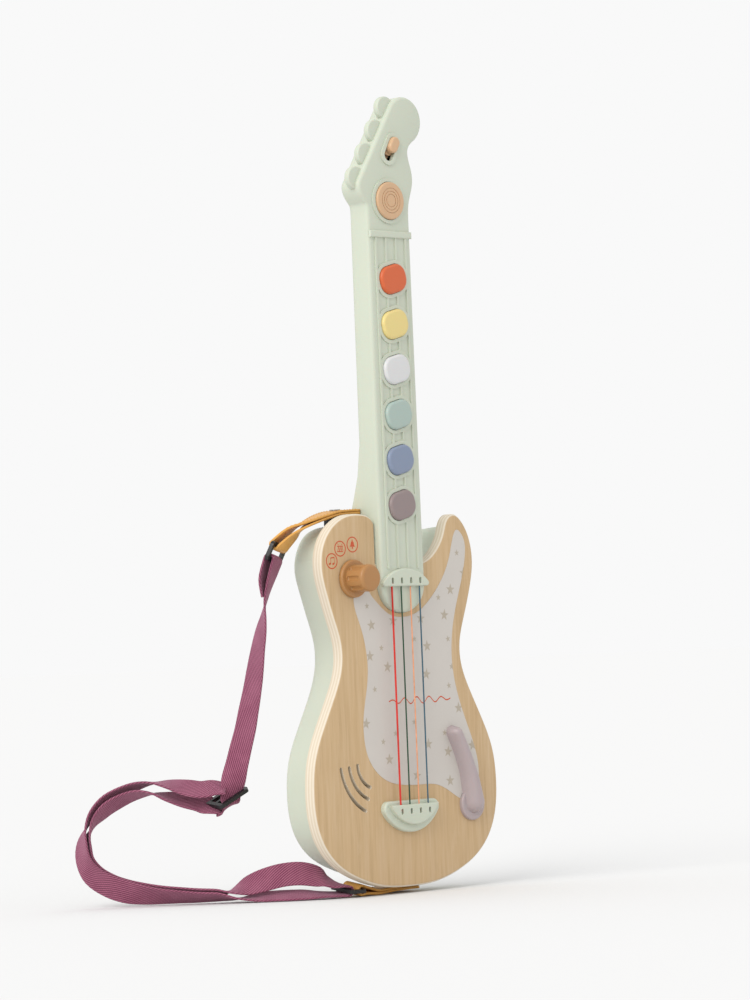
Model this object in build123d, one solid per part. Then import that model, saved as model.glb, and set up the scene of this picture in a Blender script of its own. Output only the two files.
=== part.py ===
from build123d import *
import os
from math import sin, cos, radians, hypot, sqrt

# Toy electric guitar, millimetres.  X runs across the board, Y from the front
# to the back, Z along the neck.  Every piece is drawn with z = 0 at the front
# board's lowest point and the board's back face at y = 0, and is lifted so that
# the lower leather tab, which the guitar stands on, touches z = 0.
os.makedirs("parts", exist_ok=True)

# ---------------------------------------------------------------- dimensions
LIFT = 5.0                     # board's lowest point above the floor
BOARD_T = 9.0                  # plywood thickness
BOARD_ROUND = 2.5              # rounding of the board's front edge
FILM_T = 0.25                  # printed pickguard film
SHELL_DEPTH = 32.0             # back shell, behind the board
SHELL_WALL = 2.5
SHELL_DRAFT = 2.4              # how far the side walls lean in over the depth
SHELL_ROUND = 5.0              # back edge of the shell
NECK_FRONT = -14.0             # y of the fretboard face
NECK_SPLIT = -1.0              # y of the seam between the neck's two casings
NECK_BACK = 8.5
NECK_WALL = 2.0
NECK_HALF_NUT = 23.4           # half width of the neck at the nut
NECK_HALF_BODY = 24.2          # half width where the neck meets the body
NECK_ROUND = 2.8               # front edge of the neck
POCKET_GAP = 0.4               # gap round the neck's tongue in the board
TONGUE_TOP = 236.0             # where the tongue starts to narrow
TONGUE_END = 214.0
RIB_X = (-16.4, -5.5, 5.5, 16.4)
RIB_W, RIB_H = 1.9, 1.1
RIB_LOW, RIB_HIGH = 248.5, 508.0
NUT_LOW, NUT_HIGH, NUT_H = 508.0, 513.5, 2.0
BUTTON_COUNT = 6
BUTTON_TOP_Z = 475.6           # centre of the highest fret button
BUTTON_PITCH = 35.5
BUTTON_W, BUTTON_H, BUTTON_R = 28.0, 22.0, 9.8
BUTTON_TILT = 15.0             # degrees
BUTTON_PROUD = 4.0             # above the fretboard
BUTTON_TRAVEL = 2.0
BUTTON_GAP = 0.4
BEZEL_W, BEZEL_H = 3.2, 1.2    # raised ring round each button
ROUND_Z, ROUND_R = 537.2, 14.8
SWITCH_CENTRE = (4.6, 578.5)
SWITCH_SLOT = (21.0, 9.6)      # length, width
SWITCH_ANGLE = 60.0            # degrees from +X
SWITCH_TRAVEL = 7.0
SLIDER_LEN, SLIDER_W = 13.4, 9.0
HEAD_CENTRE, HEAD_R = (22.4, 602.2), 18.8
PEG_R, PEG_T, PEG_PITCH = 9.2, 5.2, 22.4
PEG_FIRST = (-29.8, 554.4)
HEAD_SLOPE = 58.3              # degrees, slanted side of the headstock
SADDLE_LOW, SADDLE_HIGH, SADDLE_HALF, SADDLE_H = 234.5, 248.6, 28.4, 3.4
STRING_X = (-15.3, -5.1, 5.1, 15.3)
STRING_R = (0.75, 0.6, 0.5, 0.6)
STRING_Y = -15.9
STRING_LOW, STRING_HIGH = 59.5, 237.0
BRIDGE_TOP, BRIDGE_LOW, BRIDGE_HALF, BRIDGE_H = 67.5, 42.6, 33.8, 4.6
CAP_TOP, CAP_LOW, CAP_HALF, CAP_H = 64.4, 48.4, 26.4, 4.2
KNOB_X, KNOB_Z = -51.5, 241.5
KNOB_FLANGE_R, KNOB_FLANGE_T, KNOB_R, KNOB_H = 14.8, 3.0, 10.6, 21.5
KNOB_FLUTES = 8
LEVER_X, LEVER_Z = 71.0, 60.5
LEVER_BASE_R, LEVER_BASE_H = 13.0, 3.2
LEVER_T = 7.4
SPEAKER_X, SPEAKER_Z, SPEAKER_R = -58.0, 82.0, 22.0
CELL_R, CELL_LEN, CELL_COUNT = 7.25, 50.5, 3
BATTERY_Z = 92.0
WEB_W, WEB_T = 19.0, 1.6       # strap webbing
LONG_STEP = 5.0                # a strip gets a station between two this far apart
TAB_W, TAB_T = 20.0, 1.9       # one layer of the leather tabs
RING_WIRE = 3.6

# ---------------------------------------------------------------- helpers


def front_plane(y):
    """Sketch plane facing the player: local x is X and local y is Z."""
    return Plane(origin=(0, y, 0), x_dir=(1, 0, 0), z_dir=(0, -1, 0))


def slab(sketch, y_front, y_back):
    """Extrude an XZ sketch between two depths."""
    return extrude(front_plane(y_back) * sketch, amount=y_back - y_front)


def drum(x, z, radius, y_front, y_back):
    """Cylinder along Y."""
    return slab(Pos(x, z) * Circle(radius), y_front, y_back)


def ring(x, z, outer, inner, y_front, y_back):
    return drum(x, z, outer, y_front, y_back) - drum(x, z, inner, y_front, y_back)


def block(x0, x1, y0, y1, z0, z1):
    """Box given by its limits."""
    size = Box(x1 - x0, y1 - y0, z1 - z0)
    return Pos((x0 + x1) / 2, (y0 + y1) / 2, (z0 + z1) / 2) * size


def edges_at_y(solid, y):
    return solid.edges().filter_by(lambda e: abs(e.bounding_box().min.Y - y) < 0.01
                                   and abs(e.bounding_box().max.Y - y) < 0.01)


def round_edges(solid, edges, radius):
    """Round as much as the shape allows, with the full radius tried first."""
    for r in (radius, radius * 0.75, radius * 0.5, radius * 0.3):
        try:
            result = fillet(edges, r)
        except Exception:
            continue
        if result.is_valid:
            if r != radius:
                print("rounded less:", r, "of", radius)
            return result
    print("not rounded:", radius)
    return solid


def rounded_slab(outline, y_back, y_face, radius, steps=4, lean=0.0):
    """Loft an outline from y_back to y_face, with the edge at y_face rounded.

    outline(d) gives the sketch moved inwards by d; lean is the extra inset that
    straight walls gain over the whole depth.
    """
    way = 1 if y_face > y_back else -1
    depth = abs(y_face - y_back)
    sections = [front_plane(y_back) * outline(0)]
    for i in range(steps + 1):
        angle = radians(90 * i / steps)
        along = depth - radius + radius * sin(angle)
        side = lean * along / depth + radius * (1 - cos(angle))
        sections.append(front_plane(y_back + way * along) * outline(side))
    return loft(sections, ruled=True)


def save(name, shape):
    """Write one node at its place above the floor."""
    shape = Pos(0, 0, LIFT) * shape
    solids = shape.solids()
    if not solids:
        raise ValueError(name + " has no solid")
    body = solids[0] if len(solids) == 1 else Compound(children=list(solids))
    export_step(body, "parts/" + name + ".step")
    print(name, len(solids), "solids", round(sum(s.volume for s in solids), 1), "mm3")


def mirrored(points):
    return [(-x, z) for x, z in reversed(points)]


def inset(points, distance):
    """Move each point of an open outline to its left, square to its neighbours."""
    moved = []
    for i, (x, z) in enumerate(points):
        x0, z0 = points[max(i - 1, 0)]
        x1, z1 = points[min(i + 1, len(points) - 1)]
        length = hypot(x1 - x0, z1 - z0)
        moved.append((x - distance * (z1 - z0) / length, z + distance * (x1 - x0) / length))
    return moved


# ---------------------------------------------------------------- front board
HALF_BODY = [(0, 0), (30, 1.9), (57, 9.6), (79, 21.5), (94, 38.5), (101.4, 60), (102.6, 80),
             (99.6, 103), (89, 128), (76, 152), (67.4, 174), (67.3, 191), (73, 209),
             (81, 232), (85, 252)]
RIGHT_HORN = [(85, 252), (82.5, 271), (75, 284.5), (64, 291), (57, 287.5), (51.5, 275.5),
              (44, 264), (35, 256.5), (24.6, 253)]
LEFT_HORN = [(-24.6, 284), (-29, 288.8), (-41, 291.8), (-56, 290.4), (-71, 282.5),
             (-81.5, 269), (-85, 252)]


def tongue_outline(extra, top):
    """Neck tongue: straight sides and a half-oval end, grown by extra."""
    half = NECK_HALF_BODY + extra
    end = TONGUE_END - extra
    sides = Polyline((-half, TONGUE_TOP), (-half, top), (half, top), (half, TONGUE_TOP))
    curve = EllipticalCenterArc((0, TONGUE_TOP), half, TONGUE_TOP - end, 180, arc_size=180)
    return make_face([*sides.edges(), *curve.edges()])


def whole_outline(left_horn, half, right_horn):
    """Left horn, down the left side, round the bottom and up over the right horn."""
    return left_horn + mirrored(half)[1:] + half[1:] + right_horn[1:]


def board_outline(distance=0.0):
    """Whole front board without its cut-outs, moved inwards by distance."""
    points = inset(whole_outline(LEFT_HORN, HALF_BODY, RIGHT_HORN), distance)
    corner = (LEFT_HORN[0][0] - distance, LEFT_HORN[0][1] - 0.6 * distance)
    points[0] = corner
    side = Spline(*points)
    foot = (corner[0], points[-1][1])
    across = Line(points[-1], foot)
    up = Line(foot, corner)
    return make_face([*side.edges(), *across.edges(), *up.edges()])


def arc_slot(x0, z0, x1, z1, bulge, width):
    """Curved slot with round ends between two points, bowed to its left."""
    mx, mz = (x0 + x1) / 2, (z0 + z1) / 2
    length = hypot(x1 - x0, z1 - z0)
    middle = (mx - bulge * (z1 - z0) / length, mz + bulge * (x1 - x0) / length)
    return SlotArc(ThreePointArc((x0, z0), middle, (x1, z1)), width)


SPEAKER_SLOTS = [(-47, 61.5, -72, 95, 5.2), (-43.5, 70.5, -63, 95.5, 4.2), (-41, 79.5, -54, 97, 3.2)]


def front_board():
    board = rounded_slab(board_outline, 0, -BOARD_T, BOARD_ROUND)
    board -= slab(tongue_outline(POCKET_GAP, 320), -BOARD_T - 1, 1)
    for x0, z0, x1, z1, bulge in SPEAKER_SLOTS:
        board -= slab(arc_slot(x0, z0, x1, z1, bulge, 3.0), -BOARD_T - 1, 1)
    board -= drum(KNOB_X, KNOB_Z, 4.6, -BOARD_T - 1, 1)
    board -= drum(LEVER_X, LEVER_Z, 5.2, -BOARD_T - 1, 1)
    for x, z in SHELL_SCREWS:
        board -= drum(x, z, 1.5, -5.5, 1)
    return board


FILM_LEFT = [(-43, 237), (-51, 226), (-45.4, 206), (-40, 187), (-38.6, 172), (-41, 154),
             (-45, 136), (-45.6, 118), (-42, 103), (-34, 91.5), (-22, 83.5), (-5, 79.6),
             (15, 78.8), (33, 77.8), (46, 72.5), (58, 65.8), (70, 64), (79, 74), (81, 90),
             (78, 104), (70, 124), (61, 147), (56, 170), (56, 189), (62, 216), (70, 238),
             (75.6, 260), (73.6, 273), (67, 278.4), (61.5, 270), (57, 256), (47, 238.5),
             (34, 224.5), (19, 214.2), (1, 210.6), (-13, 213.2), (-25, 221.8), (-34, 231)]


def pickguard_film():
    film = slab(make_face(Spline(*FILM_LEFT, periodic=True)), -BOARD_T - FILM_T, -BOARD_T)
    film -= drum(LEVER_X, LEVER_Z, LEVER_BASE_R + 0.3, -BOARD_T - 1, 0)
    film -= drum(KNOB_X, KNOB_Z, 5.0, -BOARD_T - 1, 0)
    film -= slab(tongue_outline(POCKET_GAP + 0.3, 320), -BOARD_T - 1, 0)
    return film


# ---------------------------------------------------------------- back shell
SHELL_INSET = 6.0
SHELL_RIGHT = [(79, 250), (77, 266), (71.5, 278), (64, 282.6), (57.5, 278), (53, 267),
               (46, 256.5), (36, 249), (27, 246)]
SHELL_LEFT = [(-31, 246), (-31.5, 262), (-34.5, 277), (-43, 284), (-56, 283.6), (-68, 277),
              (-76, 265), (-79, 250)]
SHELL_SCREWS = [(-66, 33), (66, 33), (-81, 112), (81, 108), (-50, 176), (50, 178), (-64, 262),
                (65, 258)]


def shell_outline(distance):
    """Closed outline of the shell, moved inwards by distance."""
    half = inset(HALF_BODY, SHELL_INSET)
    half[0] = (0, SHELL_INSET)
    half[-1] = SHELL_RIGHT[0]
    points = inset(whole_outline(SHELL_LEFT, half, SHELL_RIGHT), distance)
    side = Spline(*points)
    across = Line(points[-1], points[0])
    return make_face([*side.edges(), *across.edges()])


BATTERY_HALF_X, BATTERY_HALF_Z = 26.0, 31.0
DOOR_GAP = 0.4
DOOR_T = 2.5
NECK_SCREWS = [(-14, 232), (14, 232), (-14, 262), (14, 262)]


def back_shell():
    outer = rounded_slab(shell_outline, 0, SHELL_DEPTH, SHELL_ROUND, lean=SHELL_DRAFT)
    inner = rounded_slab(lambda d: shell_outline(d + SHELL_WALL), 0, SHELL_DEPTH - SHELL_WALL,
                         SHELL_ROUND - SHELL_WALL, lean=SHELL_DRAFT)
    shell = outer - inner
    posts = [drum(x, z, 4.2, 0, SHELL_DEPTH - 1) for x, z in SHELL_SCREWS]
    shell += posts
    for x, z in SHELL_SCREWS:
        shell -= drum(x, z, 1.8, -1, SHELL_DEPTH + 1)
        shell -= drum(x, z, 3.3, SHELL_DEPTH - 12, SHELL_DEPTH + 1)
    door_x, door_z = BATTERY_HALF_X + 4, BATTERY_HALF_Z + 4
    back = SHELL_DEPTH
    shell -= block(-door_x, door_x, back - DOOR_T, back + 1, BATTERY_Z - door_z, BATTERY_Z + door_z)
    frame = block(-door_x - 2, door_x + 2, back - 5, back - DOOR_T, BATTERY_Z - door_z - 2,
                  BATTERY_Z + door_z + 2)
    shell += frame - block(-BATTERY_HALF_X, BATTERY_HALF_X, back - 6, back, BATTERY_Z - BATTERY_HALF_Z,
                           BATTERY_Z + BATTERY_HALF_Z)
    shell -= block(-20.4, 20.4, -1, 3.2, 238, 256)
    shell -= drum(0, BATTERY_Z + BATTERY_HALF_Z + 1.2, 1.7, back - 6, back)
    return shell


# ---------------------------------------------------------------- neck
HEEL_DEPTH = 24.0
HEEL_LOW = 246.4
HEEL_HIGH = 345.0


def headstock_edges(extra):
    """Outline from the right of the nut over the head to the left of the nut."""
    half = NECK_HALF_NUT + extra
    cx, cz = HEAD_CENTRE
    r = HEAD_R + extra
    slope = radians(HEAD_SLOPE)
    nx, nz = -sin(slope) * extra, cos(slope) * extra
    start = (half, 524)
    low = (cx + r * cos(radians(-58)), cz + r * sin(radians(-58)))
    high = (cx + r * cos(radians(140)), cz + r * sin(radians(140)))
    top = (cx + r * cos(radians(40)), cz + r * sin(radians(40)))
    corner = (-30.6 + nx, 553.0 + nz)
    right = Spline(start, (half + 1.2, 537), (29.4 + extra, 553), (28.6 + extra, 563),
                   (25.4 + extra, 578), low,
                   tangents=[(0, 1), (sin(radians(58)), cos(radians(58)))])
    crown = ThreePointArc(low, top, high)
    slant = Line(high, corner)
    left = Spline(corner, (-31.8 - extra, 545.5), (-half - 2.4, 536), (-half, 524),
                  tangents=[(-cos(slope), -sin(slope)), (0, -1)])
    return [*right.edges(), *crown.edges(), *slant.edges(), *left.edges()]


def neck_outline(extra, with_tongue):
    """Neck and headstock outline grown by extra, with or without the tongue."""
    top, low = NECK_HALF_NUT + extra, NECK_HALF_BODY + extra
    foot = TONGUE_TOP if with_tongue else HEEL_LOW - extra
    right = Line((low, foot), (top, 524))
    left = Line((-top, 524), (-low, foot))
    if with_tongue:
        end = EllipticalCenterArc((0, TONGUE_TOP), low, TONGUE_TOP - TONGUE_END + extra, 180, arc_size=180)
    else:
        end = Line((-low, foot), (low, foot))
    return make_face([*right.edges(), *headstock_edges(extra), *left.edges(), *end.edges()])


def button_sketch(extra, centre_z):
    shape = RectangleRounded(BUTTON_W + 2 * extra, BUTTON_H + 2 * extra, BUTTON_R + extra)
    return Pos(0, centre_z) * Rot(0, 0, BUTTON_TILT) * shape


def switch_sketch(length, width, along=0.0):
    angle = radians(SWITCH_ANGLE)
    x = SWITCH_CENTRE[0] + along * cos(angle)
    z = SWITCH_CENTRE[1] + along * sin(angle)
    return Pos(x, z) * Rot(0, 0, SWITCH_ANGLE) * SlotOverall(length, width)


BUTTON_Z = [BUTTON_TOP_Z - BUTTON_PITCH * i for i in range(BUTTON_COUNT)]
POST_Z = [457.8, 386.8, 315.8]
HEAD_POSTS = [(16, 561), (26, 606)]
NECK_POSTS = [(0, z) for z in POST_Z] + HEAD_POSTS


def neck_front():
    body = rounded_slab(lambda d: neck_outline(-d, True), NECK_SPLIT, NECK_FRONT, NECK_ROUND)
    body -= slab(neck_outline(-NECK_WALL, True), NECK_FRONT + NECK_WALL, NECK_SPLIT + 1)
    for x in RIB_X:
        rib = Pos(x, (RIB_LOW + RIB_HIGH) / 2) * Rectangle(RIB_W, RIB_HIGH - RIB_LOW)
        body += slab(rib, NECK_FRONT - RIB_H, NECK_FRONT + 1)
    for z in BUTTON_Z:
        body += slab(button_sketch(BEZEL_W, z), NECK_FRONT - BEZEL_H, NECK_FRONT + 1)
    body += drum(0, ROUND_Z, ROUND_R + BEZEL_W, NECK_FRONT - BEZEL_H, NECK_FRONT + 1)
    length, width = SWITCH_SLOT
    body += slab(switch_sketch(length + 6.4, width + 6.4), NECK_FRONT - BEZEL_H, NECK_FRONT + 1)
    body += [drum(x, z, 3.2, NECK_FRONT + 1, NECK_SPLIT) for x, z in NECK_POSTS]
    body += [drum(x, z, 3.2, NECK_FRONT + 1, NECK_SPLIT) for x, z in NECK_SCREWS]
    for z in BUTTON_Z:
        body -= slab(button_sketch(BUTTON_GAP, z), -20, NECK_FRONT + 5)
    body -= drum(0, ROUND_Z, ROUND_R + BUTTON_GAP, -20, NECK_FRONT + 5)
    body -= slab(switch_sketch(length, width), -20, NECK_FRONT + 5)
    for x, z in NECK_POSTS + NECK_SCREWS:
        body -= drum(x, z, 1.4, NECK_FRONT + 3, 0)
    return body


def heel():
    """Deep foot of the neck that fills the space between the shell's horns."""
    half = NECK_HALF_BODY - 0.3
    sections = []
    for z, back in ((HEEL_LOW, HEEL_DEPTH), (284, HEEL_DEPTH), (302, 17.4), (322, 11.4),
                    (HEEL_HIGH, NECK_BACK - 0.2)):
        depth = back - NECK_SPLIT
        edge = Rectangle(2 * half, depth)
        edge = fillet(edge.vertices().sort_by(Axis.Y)[-2:], 5.0)
        sections.append(Plane.XY.offset(z) * Pos(0, (NECK_SPLIT + back) / 2) * edge)
    return loft(sections, ruled=True)


def neck_back():
    shell = rounded_slab(lambda d: neck_outline(-d, False), NECK_SPLIT, NECK_BACK, 6.0)
    shell += heel()
    shell -= slab(neck_outline(-NECK_WALL, False), NECK_SPLIT - 1, NECK_BACK - NECK_WALL)
    tenon = block(-20, 20, NECK_SPLIT, 2.5, 227, 268)
    shell += tenon
    posts = [drum(x, z, 3.2, NECK_SPLIT, NECK_BACK - 1) for x, z in NECK_POSTS]
    shell += posts
    for x, z in NECK_POSTS:
        shell -= drum(x, z, 1.5, -2, NECK_BACK + 1)
        shell -= drum(x, z, 2.7, NECK_BACK - 4, NECK_BACK + 1)
    for x, z in NECK_SCREWS:
        shell += drum(x, z, 3.2, NECK_SPLIT, 3)
        shell -= drum(x, z, 1.5, -2, HEEL_DEPTH + 1)
        shell -= drum(x, z, 2.9, 2.4, HEEL_DEPTH + 1)
    return shell


# ---------------------------------------------------------------- buttons
CAP_BACK = -11.7               # back face of a button's skirt front, behind the wall
PLUNGER_END = -6.4
PAD_FRONT, BOARD_FRONT, BOARD_BACK = -5.0, -4.0, -2.6


def fret_button(z):
    face = NECK_FRONT - BUTTON_PROUD
    cap = slab(button_sketch(0, z), face, -10.4)
    cap = round_edges(cap, edges_at_y(cap, face), 2.2)
    skirt = Pos(0, z) * Rot(0, 0, BUTTON_TILT) * RectangleRounded(BUTTON_W + 3, BUTTON_H + 3, 11)
    cap += slab(skirt, CAP_BACK, -10.4)
    cap -= slab(button_sketch(-2.0, z), face + 2.6, -9)
    return cap + drum(0, z, 3.0, face + 2, PLUNGER_END)


def round_button():
    face = NECK_FRONT - 3.4
    cap = drum(0, ROUND_Z, ROUND_R, face, -10.4)
    cap = round_edges(cap, edges_at_y(cap, face), 1.4)
    for r in (5.0, 7.4, 9.8):
        cap -= ring(0, ROUND_Z, r + 0.35, r - 0.35, face - 1, face + 0.4)
    cap += drum(0, ROUND_Z, ROUND_R + 1.5, CAP_BACK, -10.4)
    cap -= drum(0, ROUND_Z, ROUND_R - 2.0, face + 2.6, -9)
    return cap + drum(0, ROUND_Z, 3.0, face + 2, PLUNGER_END)


def key_mat():
    """Silicone mat on the circuit board, with an open collar under each button."""
    mat = Pos(0, 387) * RectangleRounded(32, 212, 4)
    mat = slab(mat, PAD_FRONT, BOARD_FRONT)
    for z in BUTTON_Z:
        mat += drum(0, z, 5.4, PAD_FRONT - 2.4, PAD_FRONT)
        mat -= drum(0, z, 3.8, -12, 0)
    for z in POST_Z:
        mat -= drum(0, z, 3.8, -12, 0)
    return mat


def key_board():
    board = slab(Pos(0, 387) * RectangleRounded(34, 216, 3), BOARD_FRONT, BOARD_BACK)
    for z in POST_Z:
        board -= drum(0, z, 3.6, -12, 0)
    return board


def head_board():
    board = slab(Pos(1.5, 560) * RectangleRounded(30, 76, 3), BOARD_FRONT, BOARD_BACK)
    board = board & slab(neck_outline(-NECK_WALL - 1, True), -12, 0)
    for x, z in HEAD_POSTS:
        board -= drum(x, z, 3.6, -12, 0)
    return board + ring(0, ROUND_Z, 5.4, 3.8, PAD_FRONT - 2.4, BOARD_FRONT)


def switch_slider():
    shift = (SWITCH_SLOT[0] - SLIDER_LEN) / 2 - 0.3
    face = NECK_FRONT - 4.4
    cap = slab(switch_sketch(SLIDER_LEN, SLIDER_W, shift), face, -11.6)
    cap = round_edges(cap, edges_at_y(cap, face), 1.6)
    plate = switch_sketch(SLIDER_LEN + 3.0, SLIDER_W + 3.6, shift)
    cap += slab(plate, -11.6, -10.6)
    return cap + slab(switch_sketch(4.2, 4.0, shift), -10.6, -7.4)


def switch_body():
    """Slide switch on the head's circuit board, open along the slider's path."""
    angle = radians(SWITCH_ANGLE)
    case = Pos(*SWITCH_CENTRE) * Rot(0, 0, SWITCH_ANGLE) * Rectangle(22, 10)
    body = slab(case, -8.6, BOARD_FRONT)
    return body - slab(switch_sketch(14.5, 5.0), -9, -5.6)


# ---------------------------------------------------------------- head, nut, strings
def tuning_peg(index):
    slope = radians(HEAD_SLOPE)
    x = PEG_FIRST[0] + index * PEG_PITCH * cos(slope)
    z = PEG_FIRST[1] + index * PEG_PITCH * sin(slope)
    disc = Pos(x, z) * Circle(PEG_R)
    peg = slab(disc, -10.0, -10.0 + PEG_T)
    peg = round_edges(peg, peg.edges(), 1.2)
    return peg - slab(neck_outline(0.05, True), -20, 20)


def nut_bar():
    half = NECK_HALF_NUT - 0.3
    bar = block(-half, half, NECK_FRONT - NUT_H, NECK_FRONT, NUT_LOW, NUT_HIGH)
    return round_edges(bar, edges_at_y(bar, NECK_FRONT - NUT_H), 1.2)


def half_moon(half, flat, top):
    """Flat side at z = flat, with an arc over it that peaks at z = top."""
    chord = Line((half, flat), (-half, flat))
    arc = ThreePointArc((-half, flat), (0, top), (half, flat))
    return make_face([*chord.edges(), *arc.edges()])


def saddle():
    block_front = NECK_FRONT - SADDLE_H
    outline = half_moon(SADDLE_HALF, SADDLE_LOW, SADDLE_HIGH)
    outline = fillet(outline.vertices(), 2.4)
    piece = slab(outline, block_front, NECK_FRONT)
    for x in RIB_X:
        piece -= block(x - RIB_W / 2 - 0.1, x + RIB_W / 2 + 0.1, NECK_FRONT - RIB_H - 0.1,
                       NECK_FRONT + 1, RIB_LOW - 1, 260)
    piece = round_edges(piece, edges_at_y(piece, block_front), 1.2)
    for x in STRING_X:
        piece -= slab(Pos(x, 239) * Rot(0, 0, 90) * SlotOverall(5, 2.4), block_front - 1, -14.6)
        piece -= Pos(x, STRING_Y, 236) * Cylinder(0.85, 6)
    return piece


def bridge_base():
    """Shield-shaped base: flat top side, round bottom and round corners."""
    sketch = half_moon(-BRIDGE_HALF, BRIDGE_TOP, BRIDGE_LOW)
    sketch = fillet(sketch.vertices(), 6.0)
    base = slab(sketch, -BOARD_T - BRIDGE_H, -BOARD_T)
    return round_edges(base, edges_at_y(base, -BOARD_T - BRIDGE_H), 1.6)


def bridge_cap():
    front = -BOARD_T - BRIDGE_H - CAP_H
    outline = make_face([*Line((-CAP_HALF, CAP_TOP), (CAP_HALF, CAP_TOP)).edges(),
                         *ThreePointArc((CAP_HALF, CAP_TOP), (0, CAP_LOW),
                                        (-CAP_HALF, CAP_TOP)).edges()])
    cap = slab(outline, front, -BOARD_T - BRIDGE_H)
    cap = round_edges(cap, edges_at_y(cap, front), 1.4)
    for x in STRING_X:
        cap -= slab(Pos(x, 59.2) * Rot(0, 0, 90) * SlotOverall(4.6, 2.4), front - 1, -14.6)
        cap -= Pos(x, STRING_Y, 62) * Cylinder(0.85, 6)
    return cap


def guitar_string(index):
    length = STRING_HIGH - STRING_LOW
    middle = (STRING_HIGH + STRING_LOW) / 2
    return Pos(STRING_X[index], STRING_Y, middle) * Cylinder(STRING_R[index], length)


# ---------------------------------------------------------------- knob and lever
def selector_knob():
    back = -BOARD_T - FILM_T - 0.5
    flange = drum(KNOB_X, KNOB_Z, KNOB_FLANGE_R, back - KNOB_FLANGE_T, back)
    flange = round_edges(flange, edges_at_y(flange, back - KNOB_FLANGE_T), 1.6)
    face = -BOARD_T - KNOB_H
    grip = drum(KNOB_X, KNOB_Z, KNOB_R, face, back - 1)
    grip = round_edges(grip, edges_at_y(grip, face), 2.6)
    for i in range(KNOB_FLUTES):
        angle = radians(i * 360 / KNOB_FLUTES)
        x = KNOB_X + (KNOB_R + 0.8) * sin(angle)
        z = KNOB_Z + (KNOB_R + 0.8) * cos(angle)
        groove = drum(x, z, 2.3, face + 3.8, back - KNOB_FLANGE_T - 1.0)
        grip -= round_edges(groove, groove.edges().filter_by(GeomType.CIRCLE), 1.2)
    stem = drum(KNOB_X, KNOB_Z, 4.0, back - 1, 3.0)
    return flange + grip + stem


def lever_outline():
    """Drop-shaped lever, wide at its pivot and curved towards the strings."""
    return make_face(Spline((71.5, 49.0), (80.5, 53.0), (83.2, 62.5), (81.0, 74), (76.3, 86),
                            (70.6, 98), (63.6, 110.5), (57.4, 121.0), (51.0, 124.6), (45.6, 120.6),
                            (46.6, 113), (53.4, 100.5), (58.6, 87), (60.2, 74), (60.4, 61),
                            (63.4, 53), periodic=True))


LEVER_BACK = -BOARD_T - LEVER_BASE_H - 0.4


def whammy_lever():
    lever = slab(lever_outline(), LEVER_BACK - LEVER_T, LEVER_BACK)
    lever = round_edges(lever, edges_at_y(lever, LEVER_BACK - LEVER_T), 3.4)
    lever += drum(LEVER_X, LEVER_Z, 4.0, LEVER_BACK - 1, 5.0)
    lever += block(LEVER_X - 2.4, LEVER_X + 2.4, 5.0, 7.5, LEVER_Z - 3, LEVER_Z + 12)
    return lever - drum(LEVER_X, LEVER_Z, 1.4, -2, 10)


def lever_base():
    front = -BOARD_T - LEVER_BASE_H
    disc = drum(LEVER_X, LEVER_Z, LEVER_BASE_R, front, -BOARD_T)
    disc = round_edges(disc, edges_at_y(disc, front), 1.6)
    sleeve = drum(LEVER_X, LEVER_Z, 5.2, -BOARD_T, 0)
    return disc + sleeve - drum(LEVER_X, LEVER_Z, 4.05, -20, 5)


def lever_screw():
    head = drum(LEVER_X, LEVER_Z, 3.2, 7.5, 9.3)
    return head + drum(LEVER_X, LEVER_Z, 1.4, -1.5, 7.5)


def lever_spring():
    """Centring spring: two flat leaves on a foot fixed to the board."""
    x, z = LEVER_X, LEVER_Z
    foot = block(x - 8, x + 8, 0, 7.5, z + 24, z + 30)
    leaves = [block(x + side * 5.6 - 0.4, x + side * 5.6 + 0.4, 5.2, 7.3, z + 9, z + 24)
              for side in (-1, 1)]
    return foot + leaves


# ---------------------------------------------------------------- electronics
def speaker():
    x, z = SPEAKER_X, SPEAKER_Z
    basket = ring(x, z, SPEAKER_R, SPEAKER_R - 3.5, 1.5, 3.5)
    cone = Pos(x, 7.0, z) * Rot(90, 0, 0) * Cone(10.5, SPEAKER_R - 2.5, 8)
    cone = cone - drum(x, z, SPEAKER_R, -5, 2.6)
    return basket + cone + drum(x, z, 12.0, 11.0, 19.0)


def speaker_gasket():
    return ring(SPEAKER_X, SPEAKER_Z, SPEAKER_R + 1.0, SPEAKER_R - 3.5, 0, 1.5)


def main_board():
    board = slab(Pos(2, 158) * RectangleRounded(66, 46, 3), 12.0, 13.6)
    chips = [block(-18, -6, 13.6, 15.4, 150, 162), block(6, 14, 13.6, 15.0, 160, 168)]
    cans = [drum(x, 143, 3.0, 13.6, 20.0) for x in (12, 20)]
    legs = [drum(x, z, 2.2, 0, 12.0) for x in (-26, 30) for z in (140, 176)]
    return board + chips + cans + legs


def selector_switch():
    case = block(KNOB_X - 9, KNOB_X + 9, 4.2, 12, KNOB_Z - 9, KNOB_Z + 9)
    collar = ring(KNOB_X, KNOB_Z, 8.0, 4.06, 0, 4.2)
    return case + collar


def battery_tray():
    half_x, half_z = BATTERY_HALF_X - 0.4, BATTERY_HALF_Z - 0.4
    depth = 17.6
    front = SHELL_DEPTH - 5 - depth
    z = BATTERY_Z
    tray = block(-half_x, half_x, front, SHELL_DEPTH - 3.4, z - half_z, z + half_z)
    return tray - block(-half_x + 1.6, half_x - 1.6, front + 1.6, SHELL_DEPTH, z - half_z + 1.6,
                        z + half_z - 1.6)


CELL_Y = SHELL_DEPTH - 5 - 17.6 + 1.6 + CELL_R + 0.6
CELL_PITCH = 15.4


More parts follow.
